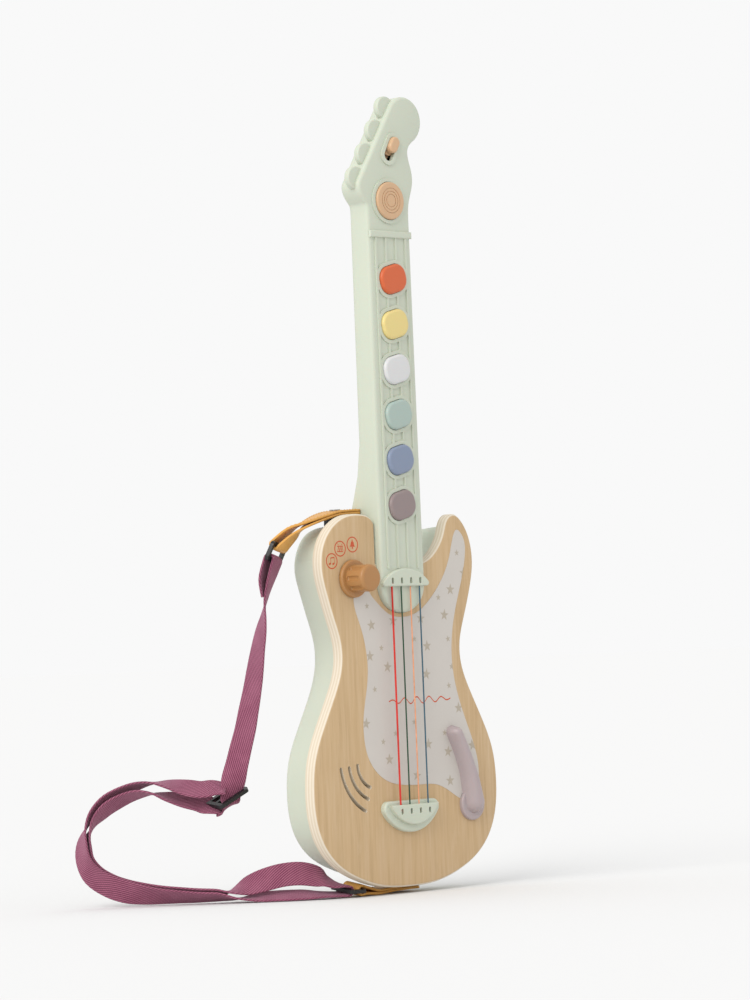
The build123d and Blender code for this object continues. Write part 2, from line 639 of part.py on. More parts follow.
def battery_cells():
    cells = []
    for i in range(CELL_COUNT):
        x = (i - 1) * CELL_PITCH
        tip = CELL_LEN / 2 if i % 2 == 0 else -CELL_LEN / 2
        can = Pos(x, CELL_Y, BATTERY_Z) * Cylinder(CELL_R, CELL_LEN - 2)
        nub = Pos(x, CELL_Y, BATTERY_Z + tip - (0.5 if tip > 0 else -0.5)) * Cylinder(2.6, 1.0)
        cells.append(can + nub)
    return Compound(children=[c.solids()[0] for c in cells])


def battery_contacts():
    plates = []
    for side in (-1, 1):
        wall = BATTERY_Z + side * (BATTERY_HALF_Z - 0.4 - 1.6)
        for i in range(CELL_COUNT):
            x = (i - 1) * CELL_PITCH
            inner = wall - side * 0.5
            plates.append(block(x - 5, x + 5, CELL_Y - 5, CELL_Y + 5, min(wall, inner),
                                max(wall, inner)))
            reach = BATTERY_Z + side * (CELL_LEN / 2 + 0.05)
            middle = (reach + inner) / 2
            plates.append(Pos(x, CELL_Y, middle) * Cylinder(2.2, abs(inner - reach)))
    return Compound(children=[s for p in plates for s in p.solids()])


def battery_door():
    back = SHELL_DEPTH
    half_x, half_z = BATTERY_HALF_X + 4 - DOOR_GAP, BATTERY_HALF_Z + 4 - DOOR_GAP
    door = block(-half_x, half_x, back - DOOR_T + 0.1, back, BATTERY_Z - half_z, BATTERY_Z + half_z)
    for i in range(5):
        z = BATTERY_Z - 16 + 4 * i
        door -= block(-9, 9, back - 0.6, back + 1, z - 0.8, z + 0.8)
    hole_z = BATTERY_Z + BATTERY_HALF_Z + 1.2
    door -= drum(0, hole_z, 1.7, 0, 40)
    return door - drum(0, hole_z, 2.6, back - 1.4, 40)


def door_screw():
    hole_z = BATTERY_Z + BATTERY_HALF_Z + 1.2
    head = drum(0, hole_z, 2.4, SHELL_DEPTH - 1.4, SHELL_DEPTH - 0.1)
    head -= block(-1.8, 1.8, SHELL_DEPTH - 0.7, SHELL_DEPTH, hole_z - 0.3, hole_z + 0.3)
    return head + drum(0, hole_z, 1.6, SHELL_DEPTH - 4.6, SHELL_DEPTH - 1.4)


def screw(x, z, tip_y, head_y, head_h, shank_r, head_r):
    """Pan-head screw driven from the back, with a cross slot."""
    head = drum(x, z, head_r, head_y, head_y + head_h)
    for w, h in ((0.8, 3.2), (3.2, 0.8)):
        head -= block(x - w / 2, x + w / 2, head_y + head_h - 0.7, head_y + head_h + 1, z - h / 2,
                      z + h / 2)
    return head + drum(x, z, shank_r, tip_y, head_y)


def shell_screws():
    return [screw(x, z, -5.5, SHELL_DEPTH - 12, 2.2, 1.5, 3.0) for x, z in SHELL_SCREWS]


def neck_screws():
    casing = [screw(x, z, NECK_FRONT + 3, NECK_BACK - 4, 1.6, 1.4, 2.5) for x, z in NECK_POSTS]
    tenon = [screw(x, z, NECK_FRONT + 3, 2.4, 1.6, 1.4, 2.7) for x, z in NECK_SCREWS]
    return casing + tenon


def group(solids):
    return Compound(children=[s for item in solids for s in item.solids()])


# ---------------------------------------------------------------- strap
# The strap hangs in an upright plane turned 45 degrees from the board.  Its points
# are (s, n, z): s along that plane to the player's right, n square to it and away
# from the player.  Each station is a centre and the direction of the far edge.
HALF_ROOT = sqrt(0.5)


def strap_point(s, n, z):
    return Vector(HALF_ROOT * (s + n), HALF_ROOT * (n - s), z)


def corners(before, point, after, side, width, thickness, square=True):
    """Four corners of a strip's cross-section, square to its run or along side as it is."""
    steps = [step.normalized() for step in (point - before, after - point) if step.length > 0]
    along = sum(steps, Vector()).normalized()
    across = side - along * side.dot(along) if square else side
    across = across.normalized() * (width / 2)
    rise = along.cross(across).normalized() * (thickness / 2)
    return [point + across + rise, point - across + rise, point - across - rise,
            point + across - rise]


def triangle(a, b, c):
    return Face(Wire.make_polygon([a, b, c], close=True))


def eased(points, sides):
    """The stations with one more, on a smooth curve, in the middle of each long step."""
    last = len(points) - 1
    way, turned = [points[0]], [sides[0]]
    for i in range(last):
        if (points[i + 1] - points[i]).length > LONG_STEP:
            beyond = points[max(i - 1, 0)] + points[min(i + 2, last)]
            way.append((points[i] + points[i + 1]) * 0.5625 - beyond * 0.0625)
            turned.append((sides[i].normalized() + sides[i + 1].normalized()) / 2)
        way.append(points[i + 1])
        turned.append(sides[i + 1])
    return way, turned


def ribbon(stations, edges, width, thickness, square=True):
    """Flat strip through the stations, with its width along the matching edge directions."""
    points, sides = eased(stations, edges)
    last = len(points) - 1
    frames = [corners(points[max(i - 1, 0)], point, points[min(i + 1, last)], sides[i], width,
                      thickness, square) for i, point in enumerate(points)]
    faces = []
    for near, far in zip(frames, frames[1:]):
        for i in range(4):
            j = (i + 1) % 4
            if i % 2:
                faces.append(triangle(near[i], near[j], far[j]))
                faces.append(triangle(near[i], far[j], far[i]))
            else:
                middle = (near[i] + near[j] + far[j] + far[i]) / 4
                around = [near[i], near[j], far[j], far[i], near[i]]
                faces += [triangle(a, b, middle) for a, b in zip(around, around[1:])]
    for end in (frames[0], frames[-1]):
        faces.append(triangle(end[0], end[1], end[2]))
        faces.append(triangle(end[0], end[2], end[3]))
    solid = Solid(Shell(faces))
    return solid if solid.volume > 0 else Solid(Shell([-f for f in faces]))


def spread_out(points, sides, amounts):
    """Move each point along the strip's outer face by its amount."""
    moved = []
    for i, point in enumerate(points):
        before = points[max(i - 1, 0)]
        after = points[min(i + 1, len(points) - 1)]
        outward = sides[i].cross(after - before).normalized()
        moved.append(point + outward * amounts[i])
    return moved


def turn(centre, start, side, radius, steps=6):
    """Half turn about a bar: from centre + start direction, round to the other side."""
    first = start.normalized()
    second = first.cross(side).normalized()
    way = []
    for i in range(steps + 1):
        angle = radians(180 * i / steps)
        way.append(centre + first * (radius * cos(angle)) + second * (radius * sin(angle)))
    return way


def strap_ring(centre, across, along, slot_w, slot_l):
    """Rectangular plastic loop: two bars and two side rails."""
    plane = Plane(origin=centre, x_dir=across, z_dir=across.cross(along))
    outer = RectangleRounded(slot_w + 2 * RING_WIRE, slot_l + 2 * RING_WIRE, 3.5)
    frame = extrude(plane * (outer - RectangleRounded(slot_w, slot_l, 1.0)), amount=1.4, both=True)
    return frame


UPPER_ACROSS = (strap_point(0.33, 0.93, -0.153)).normalized()
UPPER_ALONG = (strap_point(-0.42, 0.0, -0.907)).normalized()
UPPER_CENTRE = strap_point(-88.0, -58.0, 263.5)
LOWER_ACROSS = Vector(0.10, 0.98, 0.12).normalized()
LOWER_ALONG = Vector(-0.995, 0.1026, 0.0).normalized()
LOWER_CENTRE = Vector(-48.5, 12.0, 1.1)
SLOT_W, SLOT_L = 21.5, 8.6
GLIDE_W, GLIDE_L = 23.0, 13.6
BAR_CLEAR = 2.75                # a strip turns round a bar at this radius
BAR_OFFSET = (SLOT_L + RING_WIRE) / 2
GLIDE_ACROSS = strap_point(-0.72, -0.54, -0.43).normalized()
GLIDE_ALONG = strap_point(-0.62, 0.74, 0.11).normalized()
GLIDE_CENTRE = strap_point(-133.4, -40.8, 77.0)


def upper_ring():
    return strap_ring(UPPER_CENTRE, UPPER_ACROSS, UPPER_ALONG, SLOT_W, SLOT_L)


def lower_ring():
    return strap_ring(LOWER_CENTRE, LOWER_ACROSS, LOWER_ALONG, SLOT_W, SLOT_L)


def tri_glide():
    frame = strap_ring(GLIDE_CENTRE, GLIDE_ACROSS, GLIDE_ALONG, GLIDE_W, GLIDE_L)
    plane = Plane(origin=GLIDE_CENTRE, x_dir=GLIDE_ACROSS, z_dir=GLIDE_ACROSS.cross(GLIDE_ALONG))
    return frame + extrude(plane * Rectangle(GLIDE_W + 1, 2.6), amount=1.3, both=True)


def folded_tab(path, sides, spread, bar, start, ring_side):
    """Leather strip doubled over: out along the top, round a ring's bar and back."""
    top = spread_out(path, sides, spread)
    low = spread_out(path, sides, [-a for a in spread])
    radius = BAR_CLEAR + TAB_T / 2
    bend = turn(bar, start, ring_side, radius)
    points = top + bend + low[::-1]
    side_list = sides + [ring_side] * len(bend) + sides[::-1]
    return ribbon(points, side_list, TAB_W, TAB_T, square=False)


UPPER_TAB = [(-24.8, 16, 294.3), (-36, 16, 293.9), (-48, 16, 293), (-62, 16, 289.6),
             (-77, 16.4, 284.2), (-89, 17.2, 278.6)]
UPPER_TAB_SIDES = [(0, 1, 0), (0, 1, 0), (0, 1, 0), (0.15, 1, 0), (0.5, 0.9, -0.05),
                   (0.8, 0.6, -0.12)]
UPPER_SPREAD = [1.0, 1.0, 1.1, 1.5, 2.3, 3.4]
LOWER_TAB = [(22, 14, -1.2), (8, 14, -1.4), (-8, 14, -2.0), (-22, 13.6, -2.4), (-33, 13.2, -0.2)]
LOWER_TAB_SIDES = [(0, 1, 0), (0, 1, 0), (0, 1, 0), (0.02, 1, 0.05), (0.08, 0.98, 0.1)]
LOWER_SPREAD = [1.0, 1.0, 1.0, 1.1, 2.2]


def upper_tab():
    path = [Vector(*p) for p in UPPER_TAB]
    sides = [Vector(*p) for p in UPPER_TAB_SIDES]
    bar = UPPER_CENTRE - UPPER_ALONG * BAR_OFFSET
    start = UPPER_ACROSS.cross(UPPER_ALONG)
    tab = folded_tab(path, sides, UPPER_SPREAD, bar, start, UPPER_ACROSS)
    return tab - Pos(LUG_UPPER_X, LUG_Y, 293) * Cylinder(RIVET_R, 12)


def lower_tab():
    path = [Vector(*p) for p in LOWER_TAB]
    sides = [Vector(*p) for p in LOWER_TAB_SIDES]
    bar = LOWER_CENTRE - LOWER_ALONG * BAR_OFFSET
    start = LOWER_ACROSS.cross(LOWER_ALONG)
    tab = folded_tab(path, sides, LOWER_SPREAD, bar, start, LOWER_ACROSS)
    return tab - Pos(LUG_LOWER_X, LUG_Y, -1) * Cylinder(RIVET_R, 12)


LUG_UPPER_X, LUG_LOWER_X, LUG_Y = -43.0, 10.0, 16.0
LUG_HALF_X, LUG_HALF_Y = 7.0, 5.5
RIVET_R, RIVET_HEAD_R, RIVET_HEAD_H = 1.5, 4.2, 0.7


def strap_lug(x, z_low, z_high):
    """Post that holds a leather tab off the shell, cut to the shell's form."""
    post = block(x - LUG_HALF_X, x + LUG_HALF_X, LUG_Y - LUG_HALF_Y, LUG_Y + LUG_HALF_Y, z_low, z_high)
    post -= rounded_slab(shell_outline, 0, SHELL_DEPTH, SHELL_ROUND, lean=SHELL_DRAFT)
    return post - Pos(x, LUG_Y, (z_low + z_high) / 2) * Cylinder(RIVET_R, z_high - z_low + 2)


def strap_lug_upper():
    return strap_lug(LUG_UPPER_X, 279, 290.4)


def strap_lug_lower():
    return strap_lug(LUG_LOWER_X, 0.8, 9.0)


def tab_rivets():
    """Round-headed rivets through the tabs into the lugs."""
    top = 295.75
    upper = Pos(LUG_UPPER_X, LUG_Y, top + RIVET_HEAD_H / 2) * Cylinder(RIVET_HEAD_R, RIVET_HEAD_H)
    upper += Pos(LUG_UPPER_X, LUG_Y, top - 5) * Cylinder(RIVET_R, 10)
    low = -3.6
    lower = Pos(LUG_LOWER_X, LUG_Y, low - RIVET_HEAD_H / 2) * Cylinder(RIVET_HEAD_R, RIVET_HEAD_H)
    lower += Pos(LUG_LOWER_X, LUG_Y, low + 4) * Cylinder(RIVET_R, 8)
    return upper, lower


# Upper length: from its sewn end, round the upper ring, down to the slider.
DROP = [((-95.0, -57.0, 236), (0.18, 0.98, 0)), ((-97.6, -56.0, 226), (0.05, 1, 0)),
        ((-99.5, -54.6, 215), (-0.2, 0.98, 0)), ((-101.7, -53, 204.8), (-0.42, 0.9, 0)),
        ((-105, -51, 189.5), (-0.57, 0.82, 0)), ((-107.8, -49, 174), (-0.68, 0.73, 0)),
        ((-110.6, -47.4, 158.8), (-0.75, 0.66, 0)), ((-114, -46, 143.5), (-0.82, 0.57, 0)),
        ((-117.5, -45, 128), (-0.87, 0.5, 0)), ((-121.8, -44.4, 113), (-0.91, 0.42, 0)),
        ((-125.4, -44.4, 100), (-0.93, 0.30, -0.05)), ((-127.8, -43.8, 91), (-0.86, 0.0, -0.3)),
        ((-129.6, -44, 83.4), (-0.76, -0.4, -0.4)), ((-130.9, -44.2, 76.6), (-0.72, -0.54, -0.43)),
        ((-131.6, -44, 72), (-0.72, -0.54, -0.43)), ((-135, -42.2, 68.6), (-0.68, -0.56, -0.46)),
        ((-141, -40.6, 67.0), (-0.6, -0.58, -0.48))]
SEWN_END = [((-98.9, -57.6, 230.5), (0.1, 1, 0)), ((-98.9, -58.2, 237), (0.22, 0.97, 0)),
            ((-98.4, -59, 246), (0.3, 0.95, 0))]


def webbing_upper():
    bar = UPPER_CENTRE + UPPER_ALONG * BAR_OFFSET
    bend = turn(bar, UPPER_ACROSS.cross(UPPER_ALONG), -UPPER_ACROSS, BAR_CLEAR + WEB_T / 2)
    points = [strap_point(*p) for p, w in SEWN_END] + bend + [strap_point(*p) for p, w in DROP]
    sides = ([strap_point(*w) for p, w in SEWN_END] + [UPPER_ACROSS] * len(bend)
             + [strap_point(*w) for p, w in DROP])
    return ribbon(points, sides, WEB_W, WEB_T)


# Lower length: a doubled loop from the slider, out to the side and back along the
# floor to the lower ring.  Each station: centre, far edge, half gap between layers.
LAP = [((-139.5, -47.3, 84.2), (-0.5, 0.67, 0.48)), ((-143.5, -47.6, 84.6), (-0.45, 0.68, 0.52))]
LOOP = [((-154, -45.3, 78.2), (-0.25, 0.72, 0.6), 7.0), ((-166, -45, 80.8), (-0.06, 0.8, 0.6), 6.2),
        ((-181, -45, 84.2), (0, 0.96, 0.25), 5.2),
        ((-194, -44.5, 86), (0, 0.99, -0.15), 4.0), ((-208, -43.5, 83.4), (0.05, 0.9, -0.42), 3.2),
        ((-224, -42, 76), (0.3, 0.85, -0.45), 3.0), ((-234.5, -40, 67), (0.3, 0.93, -0.25), 2.6),
        ((-241.4, -38.6, 56.8), (0, 1, -0.05), 2.2), ((-245.4, -37.4, 44.6), (-0.45, 0.89, 0.02), 1.9),
        ((-245.4, -36.4, 32), (-0.68, 0.73, -0.1), 1.5), ((-239.4, -36, 20.4), (-0.78, 0.5, -0.5), 1.5),
        ((-228, -36, 12.2), (-0.6, 0.36, -0.75), 1.5), ((-215, -36.6, 7.2), (-0.3, 0.38, -0.9), 1.5),
        ((-199.6, -37.6, 4.4), (-0.1, 0.62, -0.78), 1.5), ((-180.4, -38.8, 2.9), (0, 0.81, -0.59), 1.5),
        ((-157.3, -40, 1.7), (0, 0.9, -0.43), 1.5), ((-143, -40.6, 1.4), (0, 0.93, -0.36), 1.5)]
OUTER_END = [((-129, -41, -1.9), (0, 1, -0.1)), ((-112, -41.4, -1.2), (0, 0.95, 0.26)),
             ((-94, -41.6, -0.8), (-0.05, 0.93, 0.32)), ((-76, -40, -0.9), (-0.3, 0.88, 0.30)),
             ((-62, -36.0, -1.6), (-0.55, 0.8, 0.16))]
INNER_END = [((-57, -34.0, 7.6), (-0.55, 0.6, 0.5)), ((-65, -36.6, 12.0), (-0.35, 0.45, 0.78)),
             ((-78, -39.2, 15.2), (-0.1, 0.35, 0.94)), ((-92, -40.4, 15.0), (-0.1, 0.35, 0.94)),
             ((-106, -41, 12.0), (-0.2, 0.42, 0.9)), ((-119, -41, 8.0), (-0.2, 0.62, 0.68)),
             ((-131, -41, 4.6), (-0.1, 0.92, 0.15))]


def webbing_lower():
    loop = [strap_point(*p) for p, w, g in LOOP]
    loop_sides = [strap_point(*w) for p, w, g in LOOP]
    gaps = [g for p, w, g in LOOP]
    outer = spread_out(loop, loop_sides, gaps)
    inner = spread_out(loop, loop_sides, [-g for g in gaps])
    bar = LOWER_CENTRE + LOWER_ALONG * BAR_OFFSET
    bend = turn(bar, LOWER_ALONG.cross(LOWER_ACROSS), LOWER_ACROSS, BAR_CLEAR + WEB_T / 2)
    points = [strap_point(*p) for p, w in LAP] + outer
    points += [strap_point(*p) for p, w in OUTER_END] + bend
    sides = [strap_point(*w) for p, w in LAP] + loop_sides
    sides += [strap_point(*w) for p, w in OUTER_END] + [LOWER_ACROSS] * len(bend)
    points += [strap_point(*p) for p, w in INNER_END] + inner[::-1]
    sides += [strap_point(*w) for p, w in INNER_END] + loop_sides[::-1]
    return ribbon(points, sides, WEB_W, WEB_T)


# ---------------------------------------------------------------- nodes
save("front_board", front_board())
save("pickguard_film", pickguard_film())
save("back_shell", back_shell())
save("neck_front", neck_front())
save("neck_back", neck_back())
for i, z in enumerate(BUTTON_Z):
    save("fret_button_" + str(i + 1), fret_button(z))
save("round_button", round_button())
save("key_mat", key_mat())
save("key_board", key_board())
save("head_board", head_board())
save("switch_slider", switch_slider())
save("switch_body", switch_body())
for i in range(4):
    save("tuning_peg_" + str(i + 1), tuning_peg(i))
save("nut_bar", nut_bar())
save("saddle", saddle())
save("bridge_base", bridge_base())
save("bridge_cap", bridge_cap())
for i in range(4):
    save("string_" + str(i + 1), guitar_string(i))
save("selector_knob", selector_knob())
save("selector_switch", selector_switch())
save("whammy_lever", whammy_lever())
save("lever_base", lever_base())
save("lever_screw", lever_screw())
save("lever_spring", lever_spring())
save("speaker", speaker())
save("speaker_gasket", speaker_gasket())
save("main_board", main_board())
save("battery_tray", battery_tray())
save("battery_cells", battery_cells())
save("battery_contacts", battery_contacts())
save("battery_door", battery_door())
save("battery_door_screw", door_screw())
save("shell_screws", group(shell_screws()))
save("neck_screws", group(neck_screws()))
save("upper_ring", upper_ring())
save("lower_ring", lower_ring())
save("tri_glide", tri_glide())
save("upper_tab", upper_tab())
save("lower_tab", lower_tab())
save("webbing_upper", webbing_upper())
save("webbing_lower", webbing_lower())
save("strap_lug_upper", strap_lug_upper())
save("strap_lug_lower", strap_lug_lower())
save("tab_rivets", group(tab_rivets()))
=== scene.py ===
"""Looks of the toy electric guitar: materials, printed marks, strap, light and camera."""
import math
import random

import bmesh
import bpy
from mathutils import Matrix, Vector, noise


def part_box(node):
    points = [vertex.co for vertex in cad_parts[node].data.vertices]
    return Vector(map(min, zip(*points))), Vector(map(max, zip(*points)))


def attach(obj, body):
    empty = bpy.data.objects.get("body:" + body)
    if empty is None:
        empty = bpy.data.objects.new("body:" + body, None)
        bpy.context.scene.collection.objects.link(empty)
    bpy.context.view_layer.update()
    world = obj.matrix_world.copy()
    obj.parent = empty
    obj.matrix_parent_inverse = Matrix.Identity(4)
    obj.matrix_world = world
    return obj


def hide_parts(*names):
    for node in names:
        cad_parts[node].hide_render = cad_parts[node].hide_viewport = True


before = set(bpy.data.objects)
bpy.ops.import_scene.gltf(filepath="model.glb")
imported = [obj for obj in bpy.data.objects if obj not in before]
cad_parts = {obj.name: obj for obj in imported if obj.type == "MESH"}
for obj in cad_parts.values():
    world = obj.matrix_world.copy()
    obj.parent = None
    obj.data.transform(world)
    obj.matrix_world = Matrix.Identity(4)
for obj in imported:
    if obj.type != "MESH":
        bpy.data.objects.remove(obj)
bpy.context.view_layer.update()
MM = 0.001
LIFT = 5.0                      # the measured heights start at the board's lowest point
ROOT = "guitar"

# ------------------------------------------------------------------ camera and light
CAMERA_AZIMUTH = math.radians(-45.07)
CAMERA_ELEVATION = math.radians(-1.98)
CAMERA_ROLL = math.radians(-2.33)
CAMERA_DISTANCE = 3.143
CAMERA_LENS = 144.0
CAMERA_AIM = Vector((0.0, 0.0, 0.315))
CAMERA_OFFSET = (-0.00966, -0.00715)
WORLD_LIGHT = 0.947             # the floor and the surroundings both come out this pale
SUN_LIGHT = 1.62
SUN_WIDTH = math.radians(38)
SUN_PLACE = Vector((-0.82, -0.18, 0.54)).normalized()
FLOOR_SHADE = WORLD_LIGHT / (WORLD_LIGHT + SUN_LIGHT * SUN_PLACE.z / math.pi)


def camera_axes():
    """Right, up and backward directions of the camera."""
    ca, sa = math.cos(CAMERA_AZIMUTH), math.sin(CAMERA_AZIMUTH)
    ce, se = math.cos(CAMERA_ELEVATION), math.sin(CAMERA_ELEVATION)
    right = Vector((ca, sa, 0.0))
    back = Vector((sa * ce, -ca * ce, se))
    up = back.cross(right)
    cr, sr = math.cos(CAMERA_ROLL), math.sin(CAMERA_ROLL)
    return right * cr + up * sr, up * cr - right * sr, back


def make_camera():
    right, up, back = camera_axes()
    data = bpy.data.cameras.new("camera")
    data.lens = CAMERA_LENS
    data.sensor_width = 36.0
    data.clip_end = 100.0
    camera = bpy.data.objects.new("camera", data)
    bpy.context.scene.collection.objects.link(camera)
    place = CAMERA_AIM + back * CAMERA_DISTANCE
    place += right * CAMERA_OFFSET[0] + up * CAMERA_OFFSET[1]
    turned = camera.matrix_world.to_3x3()
    for i, axis in enumerate((right, up, back)):
        turned.col[i] = axis
    camera.matrix_world = turned.to_4x4()
    camera.location = place
    bpy.context.scene.camera = camera


def make_lights():
    """Even pale surroundings and one very wide sun from the left."""
    world = bpy.data.worlds.new("studio")
    world.use_nodes = True
    background = world.node_tree.nodes["Background"]
    background.inputs["Color"].default_value = (1.0, 1.0, 1.0, 1.0)
    background.inputs["Strength"].default_value = WORLD_LIGHT
    bpy.context.scene.world = world
    bpy.context.scene.view_settings.view_transform = "Standard"
    data = bpy.data.lights.new("sun", "SUN")
    data.energy = SUN_LIGHT
    data.angle = SUN_WIDTH
    data.color = (1.0, 0.992, 0.975)
    sun = bpy.data.objects.new("sun", data)
    bpy.context.scene.collection.objects.link(sun)
    sun.rotation_euler = (-SUN_PLACE).to_track_quat("-Z", "Y").to_euler()


# ------------------------------------------------------------------ shader helpers
class Shader:
    """A material's node tree with short calls for the nodes used here."""

    def __init__(self, name, colour, roughness=0.5, metallic=0.0, sheen=0.0, coat=0.0,
                 specular=0.5, subsurface=0.0):
        self.material = bpy.data.materials.new(name)
        self.material.use_nodes = True
        self.tree = self.material.node_tree
        self.surface = self.tree.nodes["Principled BSDF"]
        self.set("Base Color", (*colour, 1.0))
        self.set("Roughness", roughness)
        self.set("Metallic", metallic)
        self.set("Sheen Weight", sheen)
        self.set("Coat Weight", coat)
        self.set("Specular IOR Level", specular)
        self.set("Subsurface Weight", subsurface)
        self.set("Subsurface Scale", 0.003)
        self.colour = colour
        self.height = None

    def set(self, socket, value):
        self.surface.inputs[socket].default_value = value

    def node(self, kind, inputs=None, **settings):
        made = self.tree.nodes.new(kind)
        for name, value in settings.items():
            setattr(made, name, value)
        for key, value in (inputs or {}).items():
            self.feed(made.inputs[key], value)
        return made

    def feed(self, socket, value):
        if isinstance(value, bpy.types.NodeSocket):
            self.tree.links.new(value, socket)
        else:
            socket.default_value = value

    def math(self, operation, a, b=0.0, c=0.0):
        made = self.node("ShaderNodeMath", operation=operation)
        for socket, value in zip(made.inputs, (a, b, c)):
            self.feed(socket, value)
        return made.outputs[0]

    def place(self):
        return self.node("ShaderNodeTexCoord").outputs["Object"]

    def split(self, vector):
        return self.node("ShaderNodeSeparateXYZ", {0: vector}).outputs

    def stretched(self, scale, vector=None):
        source = vector if vector is not None else self.place()
        made = self.node("ShaderNodeVectorMath", {0: source, 1: scale}, operation="MULTIPLY")
        return made.outputs[0]

    def noise(self, vector, scale=1.0, detail=3.0, rough=0.5, distortion=0.0):
        return self.node("ShaderNodeTexNoise", {
            "Vector": vector, "Scale": scale, "Detail": detail, "Roughness": rough,
            "Distortion": distortion}).outputs["Fac"]

    def cells(self, vector, scale, feature="F1"):
        made = self.node("ShaderNodeTexVoronoi", {"Vector": vector, "Scale": scale},
                         feature=feature)
        return made.outputs["Distance"]

    def span(self, value, low, high, to_low=0.0, to_high=1.0):
        return self.node("ShaderNodeMapRange", {
            "Value": value, "From Min": low, "From Max": high, "To Min": to_low,
            "To Max": to_high}).outputs["Result"]

    def mix(self, share, first, second):
        made = self.node("ShaderNodeMix", data_type="RGBA")
        self.feed(made.inputs[0], share)
        self.feed(made.inputs[6], first if not isinstance(first, tuple) else (*first, 1.0))
        self.feed(made.inputs[7], second if not isinstance(second, tuple) else (*second, 1.0))
        return made.outputs[2]

    def paint(self, colour):
        self.feed(self.surface.inputs["Base Color"], colour)

    def shine(self, roughness):
        self.feed(self.surface.inputs["Roughness"], roughness)

    def bump(self, height, distance, strength=1.0):
        made = self.node("ShaderNodeBump", {"Height": height, "Distance": distance,
                                            "Strength": strength})
        if self.height is not None:
            self.tree.links.new(self.height, made.inputs["Normal"])
        self.height = made.outputs["Normal"]
        self.tree.links.new(self.height, self.surface.inputs["Normal"])


def shade(colour, factor):
    return tuple(min(1.0, c * factor) for c in colour)


def srgb(red, green, blue):
    """Linear colour from everyday 0-255 values."""
    values = []
    for part in (red, green, blue):
        part /= 255.0
        values.append(part / 12.92 if part <= 0.04045 else ((part + 0.055) / 1.055) ** 2.4)
    return tuple(values)


# ------------------------------------------------------------------ materials
def moulded_plastic(name, colour, roughness=0.42, grain=1.0, coat=0.0):
    """Moulded plastic: a fine spark texture, faint flow marks and slight handling wear."""
    made = Shader(name, colour, roughness, coat=coat, specular=0.45, subsurface=0.04)
    place = made.place()
    flow = made.noise(made.stretched((9.0, 9.0, 4.0), place), 1.0, 4.0)
    made.paint(made.mix(made.span(flow, 0.3, 0.7), shade(colour, 0.96), shade(colour, 1.03)))
    fine = made.noise(place, 1700.0, 2.0, 0.6)
    wear = made.noise(place, 38.0, 5.0, 0.65)
    made.shine(made.span(wear, 0.35, 0.7, roughness - 0.05, roughness + 0.07))
    made.bump(fine, 0.00004 * grain, 0.5)
    made.bump(wear, 0.00012 * grain, 0.25)
    return made.material


BIRCH = srgb(198, 168, 127)
BIRCH_DEEP = srgb(184, 152, 110)
BIRCH_PALE = srgb(210, 186, 154)
PLY_LIGHT = srgb(223, 212, 194)
PLY_DARK = srgb(210, 196, 173)
PLY_PITCH = 0.0030              # one light and one dark ply


def plywood():
    """Birch plywood: long vertical grain on the faces, stacked plies round the edge."""
    made = Shader("birch_plywood", BIRCH, 0.5, specular=0.35)
    place = made.place()
    warp = made.noise(made.stretched((14.0, 14.0, 3.0), place), 1.0, 2.0)
    x, y, z = made.split(place)
    across = made.math("ADD", x, made.math("MULTIPLY", warp, 0.012))
    grain_place = made.node("ShaderNodeCombineXYZ", {
        "X": made.math("MULTIPLY", across, 420.0), "Y": made.math("MULTIPLY", y, 60.0),
        "Z": made.math("MULTIPLY", z, 16.0)}).outputs[0]
    grain = made.noise(grain_place, 1.0, 6.0, 0.62)
    broad_place = made.node("ShaderNodeCombineXYZ", {
        "X": made.math("MULTIPLY", across, 75.0), "Y": made.math("MULTIPLY", y, 10.0),
        "Z": made.math("MULTIPLY", z, 5.0)}).outputs[0]
    broad = made.noise(broad_place, 1.0, 4.0, 0.55)
    pores = made.noise(made.stretched((1500.0, 1500.0, 70.0), place), 1.0, 2.0)
    flame_place = made.node("ShaderNodeCombineXYZ", {
        "X": made.math("MULTIPLY", across, 55.0), "Y": 0.0,
        "Z": made.math("MULTIPLY", z, 13.0)}).outputs[0]
    flame = made.noise(flame_place, 1.0, 5.0, 0.7, 0.6)
    face = made.mix(made.span(broad, 0.25, 0.75), shade(BIRCH, 0.93), BIRCH)
    face = made.mix(made.span(grain, 0.45, 0.75, 0.0, 0.5), face, BIRCH_PALE)
    face = made.mix(made.span(grain, 0.46, 0.30, 0.0, 0.35), face, shade(BIRCH_DEEP, 0.82))
    face = made.mix(made.span(flame, 0.60, 0.74, 0.0, 0.28), face, BIRCH_PALE)
    face = made.mix(made.span(pores, 0.36, 0.26, 0.0, 0.22), face, shade(BIRCH_DEEP, 0.7))
    ply_wobble = made.noise(made.stretched((70.0, 0.0, 70.0), place), 1.0, 3.0)
    depth = made.math("ADD", y, made.math("MULTIPLY", ply_wobble, 0.0004))
    plies = made.math("SINE", made.math("MULTIPLY", depth, 2 * math.pi / PLY_PITCH))
    fibre = made.noise(made.stretched((260.0, 2600.0, 260.0), place), 1.0, 4.0, 0.7)
    edge = made.mix(made.span(plies, -0.25, 0.35, 0.0, 1.0), PLY_DARK, PLY_LIGHT)
    edge = made.mix(made.span(fibre, 0.35, 0.75, 0.0, 0.30), edge, shade(PLY_DARK, 0.86))
    normal = made.split(made.node("ShaderNodeNewGeometry").outputs["Normal"])
    facing = made.span(made.math("ABSOLUTE", normal[1]), 0.80, 0.93)
    made.paint(made.mix(facing, edge, face))
    made.shine(made.span(grain, 0.3, 0.7, 0.55, 0.44))
    made.bump(grain, 0.00010, 0.35)
    made.bump(pores, 0.00006, 0.4)
    return made.material


